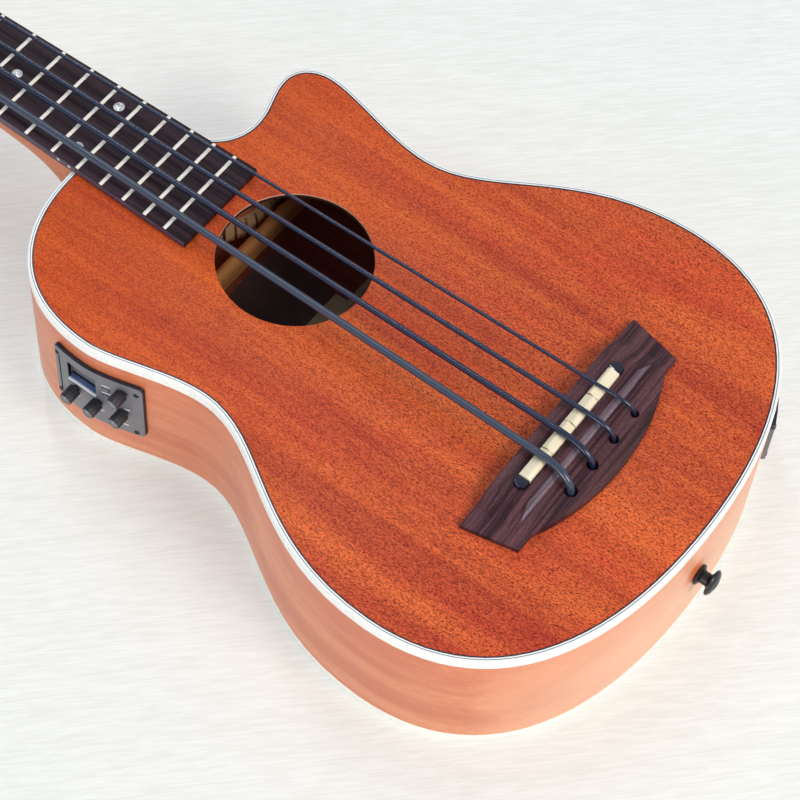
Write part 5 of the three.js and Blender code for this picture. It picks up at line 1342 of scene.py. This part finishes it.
def make_strings():
    """Strings with a knot at one end and turns on the post at the other"""
    for k, name in enumerate(STRING_NAMES):
        radius, stations = STRING_DIAMETERS[k] / 2, string_stations(k)
        wire = tube(curve_through(stations, 4), radius, STRING_SIDES)
        ball = radius + STRING_HOLE_PLAY + STRING_KNOT_EXTRA / 2
        top = TOP_UNDERSIDE_Z - BRIDGE_PLATE_THICKNESS - STRING_GAP
        arc = [(ball * sin(a), -ball * cos(a)) for a in swing(0, 180, 12)[1:-1]]
        knot = shifted(lathe([(0, -ball), *arc, (0, ball)], 24), stations[0].x, stations[0].y, top - ball)
        look = "string_grey" if k == 0 else "string"
        piece(f"{name}_string", joined(wire, knot), look, nodes=[f"string_{name}"], smooth=60)


# Tuning machines
def make_tuners():
    for k, name in enumerate(STRING_NAMES):
        u, v, side = post_place(k)
        seat = HEAD @ Matrix.Translation((u, v, 0))
        make_housing(name, side, seat)
        make_post(name, seat)
        make_knob(name, side, seat)


def make_housing(name, side, seat):
    """A flanged housing with rooms for the worm, its wheel and their shafts, two screws and a washer"""
    top, bottom = -HEAD_THICKNESS - RUN_GAP, HOUSING_BOTTOM_W
    half, far = HOUSING_HALF, WORM_OFFSET + WORM_RADIUS + RUN_GAP + HOUSING_WALL
    plan = rounded_rectangle(far + half + 2 * HOUSING_TAB, 2 * half, 3)
    plate = shifted(slab([plan], top - HOUSING_FLANGE, top), (far - half) / 2)
    plan = rounded_rectangle(far + half, 2 * half - 0.6, 4)
    can = shifted(slab([plan], bottom, top - HOUSING_FLANGE / 2), (far - half) / 2)
    shell = bevelled(carve(bevelled(plate, 0.4), bevelled(can, 1.2, 3), how="UNION"), 0.15, 1, 50)
    worm_x, w, worm_half = WORM_OFFSET, WHEEL_MIDDLE_W, WORM_HALF + RUN_GAP
    rooms = (
        ((0, 0, bottom + HOUSING_WALL), (0, 0, WHEEL_TOP_W + RUN_GAP), WHEEL_RADIUS, ROUND_SIDES),
        ((worm_x, -worm_half, w), (worm_x, worm_half, w), WORM_RADIUS, 24),
        ((worm_x, 0, w), (worm_x, side * (half + OVERRUN), w), KNOB_SHAFT_RADIUS, 24),
        ((0, 0, w), (0, 0, OVERRUN), POST_SHANK_RADIUS, 32),
        ((0, 0, bottom - OVERRUN), (0, 0, w), PIVOT_RADIUS, 24),
    )
    shell = carve(shell, *[rod(start, end, radius + RUN_GAP, sides) for start, end, radius, sides in rooms])
    piece(f"{name}_tuner_housing", moved(shell, seat), "metal", nodes=[f"tuner_{name}_housing"], smooth=40)
    for number, x in enumerate((-half - HOUSING_TAB / 2, far + HOUSING_TAB / 2), 1):
        head = screw((x, 0, top - HOUSING_FLANGE - 0.4), (0, 0, -1), HOUSING_SCREW_RADIUS)
        piece(f"{name}_tuner_screw_{number}", moved(head, seat), "metal")
    inner, outer = POST_RADIUS - 0.6, POST_RADIUS + 2.6
    washer = lathe([(inner, 0), (outer, 0), (outer, 0.5), (outer - 0.6, 0.8), (inner, 0.8), (inner, 0)], 40)
    piece(f"{name}_tuner_washer", moved(washer, seat), "metal")


def make_post(name, seat):
    """A string post with its gear wheel and pivot"""
    pivot, low, high = HOUSING_BOTTOM_W, WHEEL_LOW_W, WHEEL_TOP_W
    foot, top, cap = POST_FOOT, POST_HEIGHT, POST_HEIGHT + POST_CAP_HEIGHT
    radius, brim = POST_RADIUS, POST_CAP_RADIUS
    profile = [
        (0, pivot), (PIVOT_RADIUS, pivot), (PIVOT_RADIUS, low), (WHEEL_RADIUS, low), (WHEEL_RADIUS, high),
        (POST_SHANK_RADIUS, high), (POST_SHANK_RADIUS, foot), (radius, foot), (radius - 0.5, foot + 2),
        (radius - 0.8, top / 2), (radius - 0.4, top - 2), (radius, top - 0.4), (brim, top + 0.9),
        (brim, top + 1.4), (brim - 0.6, cap - 0.4), (brim - 1.3, cap), (2, cap), (1.7, cap - 0.5),
        (0, cap - 0.5),
    ]
    body = f"tuner_{name}_post"
    piece(f"{name}_tuner_post", moved(lathe(profile), seat), "metal", body, [body])


def make_knob(name, side, seat):
    """A paddle knob, and the shaft with its worm"""
    start = HOUSING_HALF + KNOB_SHAFT_LENGTH
    radius, collar, end = KNOB_SHAFT_RADIUS, KNOB_SHAFT_RADIUS + 1.2, start + 9
    worm = [(0, -WORM_HALF), (WORM_RADIUS, -WORM_HALF)]
    worm += [(WORM_RADIUS - (0.5 if k % 2 else 0), -7 + k * 0.7) for k in range(21)]
    shaft = [
        (WORM_RADIUS, WORM_HALF), (radius, WORM_HALF), (radius, start - 2.4), (collar, start - 2),
        (collar, start - 0.6), (radius, start), (radius, end), (0, end),
    ]
    axle = moved(lathe(worm + shaft, 32), facing((WORM_OFFSET, 0, WHEEL_MIDDLE_W), (0, side, 0)))
    rings = []
    for k, angle in enumerate(swing(0, 180, KNOB_RINGS)):
        reach = start + 0.1 + (KNOB_LENGTH - 0.2) * (1 - cos(angle)) / 2
        neck = 1 - 0.35 * (1 - k / KNOB_RINGS) ** 2
        wide = KNOB_WIDTH / 2 * max(sin(angle), 0.02) ** 0.55 * neck
        thick = KNOB_THICKNESS / 2 * max(sin(angle), 0.02) ** 0.35 * (1 - 0.28 * sin(angle) ** 4)
        ring = []
        for a in swing(0, 360, KNOB_SIDES)[:-1]:
            x = wide * abs(cos(a)) ** 0.8 * (1 if cos(a) > 0 else -1)
            z = thick * abs(sin(a)) ** 0.7 * (1 if sin(a) > 0 else -1)
            ring.append((WORM_OFFSET + x, side * reach, WHEEL_MIDDLE_W + z))
        rings.append(ring)
    body = f"tuner_{name}_knob"
    piece(f"{name}_tuner_button", moved(loft(rings), seat), "gloss", body, [body], smooth=60)
    piece(f"{name}_tuner_shaft", moved(axle, seat), "metal", body)


# Preamp
def curved_plate(low, high, inner, outer, columns=40):
    """A plate that follows the bass side, between two corners in (x, z)"""
    rings = []
    for k in range(columns + 1):
        x = low[0] + (high[0] - low[0]) * k / columns
        near, far = bass_side(x, inner), bass_side(x, outer)
        rings.append([(x, near, low[1]), (x, far, low[1]), (x, far, high[1]), (x, near, high[1])])
    return loft(rings)


def upright(mesh, x, y, z):
    """Turns a flat shape in (x, y) so that it stands in (x, z) and faces the bass side"""
    return moved(mesh, Matrix.Translation((x, y, z)) @ Matrix.Rotation(pi / 2, 4, "X"))


def panel_face(x):
    return bass_side(x, EDGE_GAP + PANEL_THICKNESS)


def panel_box(x, z, width, height, low, high):
    """A box about a place on the panel, between two distances from the face"""
    face = panel_face(x)
    return box((x - width / 2, face + low, z - height / 2), (x + width / 2, face + high, z + height / 2))


def push_height(index):
    return PANEL_Z + PUSH_RISE - PUSH_PITCH * index


def dial_place(index):
    middle = PANEL_X - DIAL_ROW_BACK
    x = middle - DIAL_PITCH if index == 0 else middle - DIAL_PITCH * (index - 2)
    z = PANEL_Z + VOLUME_RISE if index == 0 else PANEL_Z - DIAL_ROW_DROP
    return x, panel_face(x) + DIAL_GAP, z


def make_preamp():
    """A panel curved with the side, its housing and display, and all that moves on it"""
    half_x, half_z = PANEL_WIDTH / 2 + 1, PANEL_HEIGHT / 2 + 1
    low, high = (PANEL_X - half_x, PANEL_Z - half_z), (PANEL_X + half_x, PANEL_Z + half_z)
    blank = curved_plate(low, high, EDGE_GAP, EDGE_GAP + PANEL_THICKNESS)
    window = slab([rounded_rectangle(PANEL_WIDTH, PANEL_HEIGHT, PANEL_CORNER)], -OVERRUN * 4, OVERRUN * 4)
    plate = carve(blank, upright(window, PANEL_X, UPPER_BOUT_HALF, PANEL_Z), how="INTERSECT")
    plate = bevelled(plate, 0.8, 3, 40)
    x, z, wide, tall = PANEL_X + DISPLAY_ALONG, PANEL_Z + DISPLAY_RISE, DISPLAY_WIDTH, DISPLAY_HEIGHT
    recess = panel_box(x, z, wide, tall, -DISPLAY_DEPTH, OVERRUN)
    cup = panel_box(x, z, wide + 2, tall + 2, -DISPLAY_DEPTH - 1, -1.2)
    cuts = [recess]
    for k in range(4):
        dx, dy, dz = dial_place(k)
        start, end = (dx, dy - DIAL_GAP - DIAL_SHAFT_DEPTH, dz), (dx, dy + OVERRUN, dz)
        cuts.append(rod(start, end, DIAL_SHAFT_RADIUS + RUN_GAP, 24))
    wide, tall = PUSH_WIDTH + 2 * RUN_GAP, PUSH_HEIGHT + 2 * RUN_GAP
    cuts += [panel_box(PUSH_X, push_height(k), wide, tall, -PUSH_LENGTH, OVERRUN) for k in range(2)]
    groove_x, (foot, head) = PANEL_X + GROOVE_ALONG, GROOVE_REACH
    cuts.append(panel_box(groove_x, PANEL_Z + (foot + head) / 2, GROOVE_WIDTH, head - foot, -1, OVERRUN))
    near, far = housing_box(0)
    housing = bevelled(box(near, (far[0], WAIST_HALF + 4, far[2])), 1.2)
    shell = joined(carve(plate, *cuts), housing, carve(cup, recess.copy()))

    # Upward faces along the panel's top edge take a painted dark reflection
    def upper_edge(centre, normal):
        return normal.z > 0.35 and centre.z > PANEL_Z + PANEL_HEIGHT / 2 - 1.5

    def in_groove(centre, normal):
        depth = panel_face(centre.x) - centre.y
        beside = centre.x < PUSH_X + PUSH_WIDTH and depth < 3
        return depth > 0.3 and (abs(centre.x - groove_x) < GROOVE_WIDTH or beside)

    parts = [("painted_shadow_and_dark_reflection", upper_edge), ("dark", in_groove)]
    piece("preamp_shell", shell, "moulding", nodes=["preamp_panel"], smooth=35, parts=parts)
    make_display(x, panel_face(x), z)
    make_panel_trim()
    for k, name in enumerate(DIAL_NAMES):
        make_dial(k, name)
    low, high = PUSH_PROUD - PUSH_LENGTH, PUSH_PROUD / 2
    for k, name in enumerate(PUSH_NAMES):
        button = bevelled(panel_box(PUSH_X, push_height(k), PUSH_WIDTH, PUSH_HEIGHT, low, high), 0.35, 3)
        piece(f"{name}_push", button, "moulding", f"{name}_button", [f"preamp_{name}_button"])


def make_display(x, face, z):
    """A glass ledge leaning out of the recess's floor, with a white strip along its front as a painted
    highlight and a dark strip behind it as a painted shadow
    """
    back, front = face - DISPLAY_DEPTH, face - 0.3
    low, half = z - DISPLAY_HEIGHT / 2 + 0.1, DISPLAY_WIDTH / 2 - 0.15
    crest, start, end = low + 1.2, x - half, x + half
    ledge = [(front - 0.1, low), (front - 0.1, low + 0.8), (back + 0.9, crest)]
    glass = prism([(back + 0.1, low), *ledge, (back + 0.1, crest)], start, end, 0)
    piece("display_glass", bevelled(glass, 0.12, 2), "glass", smooth=30)
    # Painted shadow: a dark strip where the ledge meets the recess's back wall
    shade = box((start, back + 0.05, crest - 0.2), (end, back + 0.75, crest + 1))
    piece("display_painted_shadow", bevelled(shade, 0.1), "painted_shadow_and_dark_reflection")
    slot = box((x - 1, back + 0.02, z + 2.4), (x + 4.4, back + 0.12, z + 3.8))
    piece("display_slot", slot, "dark")
    # Painted highlight: a white strip along the ledge's front edge
    lip = box((start, front - 0.9, low), (end, front + 0.25, low + 1.15))
    piece("display_painted_highlight", bevelled(lip, 0.15), "mark")


def make_panel_trim():
    for number, (end, edge, along, up) in enumerate(PANEL_SCREWS, 1):
        x, z = PANEL_X + end * (PANEL_WIDTH / 2 - along), PANEL_Z + edge * (PANEL_HEIGHT / 2 - up)
        slope = (bass_side(x + 1, 0) - bass_side(x - 1, 0)) / 2
        head = screw((x, panel_face(x), z), (-slope, 1, 0), PANEL_SCREW_RADIUS, 0.3 * number)
        piece(f"preamp_screw_{number}", head, "metal")
    face = EDGE_GAP + PANEL_THICKNESS
    for number, (along, rise, wide) in enumerate(TICKS, 1):
        x, z, half = PANEL_X + along, PANEL_Z + rise, TICK_HALF_HEIGHT
        plate = curved_plate((x - wide / 2, z - half), (x + wide / 2, z + half), face - 0.2, face + 0.04, 4)
        piece(f"panel_tick_{number}", plate, "mark")


def make_dial(index, name):
    x, base, z = dial_place(index)
    reach, tall, foot, shaft = DIAL_RADIUS, DIAL_HEIGHT, -DIAL_GAP - DIAL_SHAFT_DEPTH, DIAL_SHAFT_RADIUS
    profile = [
        (0, foot), (shaft, foot), (shaft, 0), (reach - 0.2, 0), (reach, 0.3), (reach, tall - 0.6),
        (reach - 0.25, tall - 0.15), (reach - 0.6, tall), (reach - 1.1, tall), (reach - 1.3, tall - 0.15),
        (0, tall - 0.15),
    ]
    knob = lathe(profile, DIAL_SIDES, DIAL_LOBES, DIAL_LOBE_DEPTH)
    body, turn = f"{name}_knob", facing((x, base, z), (0, 1, 0))
    # The end face takes the painted sheen look
    ends = [("knob_painted_sheen", lambda centre, normal: normal.y > 0.8 and centre.y > base + tall - 1)]
    piece(f"{name}_dial", moved(knob, turn), "knob", body, [f"preamp_{body}"], smooth=40, parts=ends)
    pointer = bevelled(box((-0.2, 1.2, tall - 0.3), (0.2, reach - 1.3, tall - 0.05)), 0.05, 1)
    piece(f"{name}_dial_pointer", moved(pointer, turn), "mark", body)


# Output plate and strap button
def make_jack_plate():
    """A plate curved with the rim, with a battery door, a jack and four screws"""
    outer = EDGE_GAP + JACK_PLATE_THICKNESS
    clear, plate_half = outer + OVERRUN, JACK_PLATE_WIDTH / 2
    band = swept([(-EDGE_GAP, 0), (-EDGE_GAP, TOP_Z), (-outer, TOP_Z), (-outer, 0)])
    corners = rounded_rectangle(JACK_PLATE_WIDTH, JACK_PLATE_HEIGHT, JACK_PLATE_CORNER)
    window = moved(slab([corners], -plate_half, plate_half), JACK_PLATE)
    face = bevelled(carve(band, window, how="INTERSECT"), 0.6, 3, 40)
    width, height = BATTERY_BOX[:2]
    door = [rounded_rectangle(width + 1, height + 1, 2), rounded_rectangle(width, height, 1.6)]
    seam = moved(slab(door, outer - 0.7, clear), BATTERY)
    finger = slab([rounded_rectangle(10, 3, 1.4)], outer - 0.9, clear)
    grip = moved(shifted(finger, 0, height / 2 - 4), BATTERY)
    bore = moved(rod((0, 0, 2 - JACK_BARREL_LENGTH), (0, 0, clear), JACK_BORE_RADIUS), JACK)
    plate = carve(face, seam, grip, bore)
    deep, barrel_r = -JACK_BARREL_LENGTH, JACK_BARREL_RADIUS
    barrel = lathe([(0, deep), (barrel_r, deep), (barrel_r, 0), (0, 0)])
    case = bevelled(battery_box(0, 0), 1)
    whole = joined(plate, carve(moved(barrel, JACK), bore.copy()), case)
    # Upward faces take a painted dark reflection
    upward = [("painted_shadow_and_dark_reflection", lambda centre, normal: normal.z > 0.6)]
    piece("output_plate", whole, "moulding", nodes=["jack_plate"], smooth=35, parts=upward)
    foot, step, top = outer - 0.4, outer + 0.7, outer + JACK_COLLAR_LENGTH
    bore_r, wide, neck = JACK_BORE_RADIUS, JACK_COLLAR_RADIUS, JACK_COLLAR_RADIUS - 1.3
    collar = lathe([
        (bore_r, foot), (wide, foot), (wide, outer + 0.5), (wide - 0.5, step), (neck, step), (neck, top),
        (bore_r + 0.4, top), (bore_r, top - 0.4), (bore_r, foot),
    ])
    piece("jack_collar", moved(collar, JACK), "metal")
    half_x, half_z = plate_half - PLATE_SCREW_INSET, JACK_PLATE_HEIGHT / 2 - PLATE_SCREW_INSET
    places = [(along, rise) for along in (-half_x, half_x) for rise in (-half_z, half_z)]
    for number, (along, rise) in enumerate(places, 1):
        head = screw((0, rise, outer), (0, 0, 1), PLATE_SCREW_RADIUS, 0.4 * number)
        piece(f"output_plate_screw_{number}", moved(head, tail_side(JACK_PLATE_REACH + along)), "metal")


def make_strap_button():
    seat, flange, waist = EDGE_GAP, EDGE_GAP + 1.6, EDGE_GAP + 1.6 + STRAP_WAIST_LENGTH
    foot, stem, head, shank = STRAP_FLANGE_RADIUS, STRAP_WAIST_RADIUS, STRAP_HEAD_RADIUS, STRAP_SCREW_RADIUS
    profile = [
        (0, -STRAP_SCREW_LENGTH), (shank, shank - STRAP_SCREW_LENGTH), (shank, seat), (foot - 0.3, seat),
        (foot, seat + 0.4), (foot, flange - 0.5), (foot - 0.5, flange), (stem + 0.7, flange + 0.2),
        (stem, flange + 1), (stem, waist - 1.2), (stem + 1, waist - 0.3), (head - 0.6, waist),
        (head, waist + 0.5), (head, waist + 1), (head - 0.5, waist + 1.7), (head - 1.6, waist + 2.4),
        (head - 3, waist + 2.8), (2.6, waist + 3), (2.2, waist + 2.7), (0, waist + 2.6),
    ]
    turn = facing((-TAIL_REACH, 0, STRAP_Z), (-1, 0, 0))
    piece("strap_peg", moved(lathe(profile, 64), turn), "metal", nodes=["strap_button"], smooth=40)
    head = screw((0, 0, waist + 2.4), (0, 0, 1), STRAP_SCREW_HEAD_RADIUS)
    piece("strap_peg_screw", moved(head, turn), "metal")


# Floor and light
def pale_floor():
    """Ivory boards with fine faint grain, brighter for the camera and whatever mirrors or lets it through"""
    made, tree, sockets = material("pale_floor", Roughness=0.6, Specular_IOR_Level=0.1)
    turn = radians(-FLOOR_GRAIN_ANGLE)
    place = node(tree, "VectorRotate", here(tree), None, None, turn, rotation_type="Z_AXIS")
    grains = ((0.14, (3, 30, 1)), (0.26, (18, 300, 1)), (0.6, (60, 900, 1)))
    tone = weighed(tree, *((share, noise(tree, size, 2, 0.6, 0.3, place)) for share, size in grains))
    tone = between(tree, tone, 0.4, 0.6)
    plug(tree, sockets["Base Color"], mixed(tree, tone, srgb(252, 254, 246), srgb(241, 242, 232)))
    glow = node(tree, "Emission", mixed(tree, tone, srgb(255, 254, 250), srgb(246, 245, 240)), 1.0)
    lit = tree.nodes["Principled BSDF"].outputs[0]
    seen = node(tree, "MixShader", sums(tree, "MULTIPLY", direct_rays(tree), FLOOR_GLOW), lit, glow)
    tree.links.new(seen, tree.nodes["Material Output"].inputs[0])
    return made


def add_floor():
    half = FLOOR_SIZE / 2 / MM
    plan = ((-half, -half), (half, -half), (half, half), (-half, half))
    floor = add_object("floor", mesh_of([(x, y, -FLOOR_DROP) for x, y in plan], [(0, 1, 2, 3)]))
    floor.data.materials.append(pale_floor())


def add_world():
    world = bpy.data.worlds.new("studio")
    bpy.context.scene.world = world
    world.use_nodes = True
    tree = world.node_tree
    tree.nodes.clear()
    light = node(tree, "Background", (0.83, 0.94, 1.12, 1.0), 0.54)
    height = node(tree, "SeparateXYZ", node(tree, "TexCoord"), out=2)
    seen = node(tree, "Background", mixed(tree, height, (0.9, 0.9, 0.89, 1.0), (0.3, 0.36, 0.48, 1.0)), 1.0)
    shader = node(tree, "MixShader", direct_rays(tree), light, seen)
    out = tree.nodes.new("ShaderNodeOutputWorld")
    tree.links.new(shader, out.inputs[0])


def add_lamp(name, place, target, size, power, colour, length=None):
    """A round lamp, or with a length an oblong one"""
    data = bpy.data.lights.new(name, "AREA")
    data.shape = "RECTANGLE" if length else "DISK"
    data.size = size
    data.size_y = length or size
    data.energy = power
    data.color = colour
    lamp = add_object(name, data)
    lamp.location = place
    lamp.rotation_mode = "QUATERNION"
    lamp.rotation_quaternion = (Vector(target) - Vector(place)).to_track_quat("-Z", "Y")


make_plates()
make_bindings()
make_rim()
make_linings()
make_inside()
make_neck()
make_fretboard()
make_nut()
make_bridge()
make_saddle()
make_strings()
make_tuners()
make_preamp()
make_jack_plate()
make_strap_button()

add_floor()
add_world()
add_lamp("key", (-2.9, 0.25, 2.75), (0.1, 0, 0.05), 1.7, 85.0, (1.0, 0.945, 0.86))
add_lamp("fill", (-0.2, 2.7, 0.5), (0.1, 0, 0.05), 1.0, 17.0, (1.0, 0.97, 0.94))
add_lamp("strip", (1.3, -0.9, 2.6), (0.2, 0, 0.05), 0.08, 12.0, (0.92, 0.95, 1.0), 1.7)

bpy.context.scene.view_settings.view_transform = "Standard"
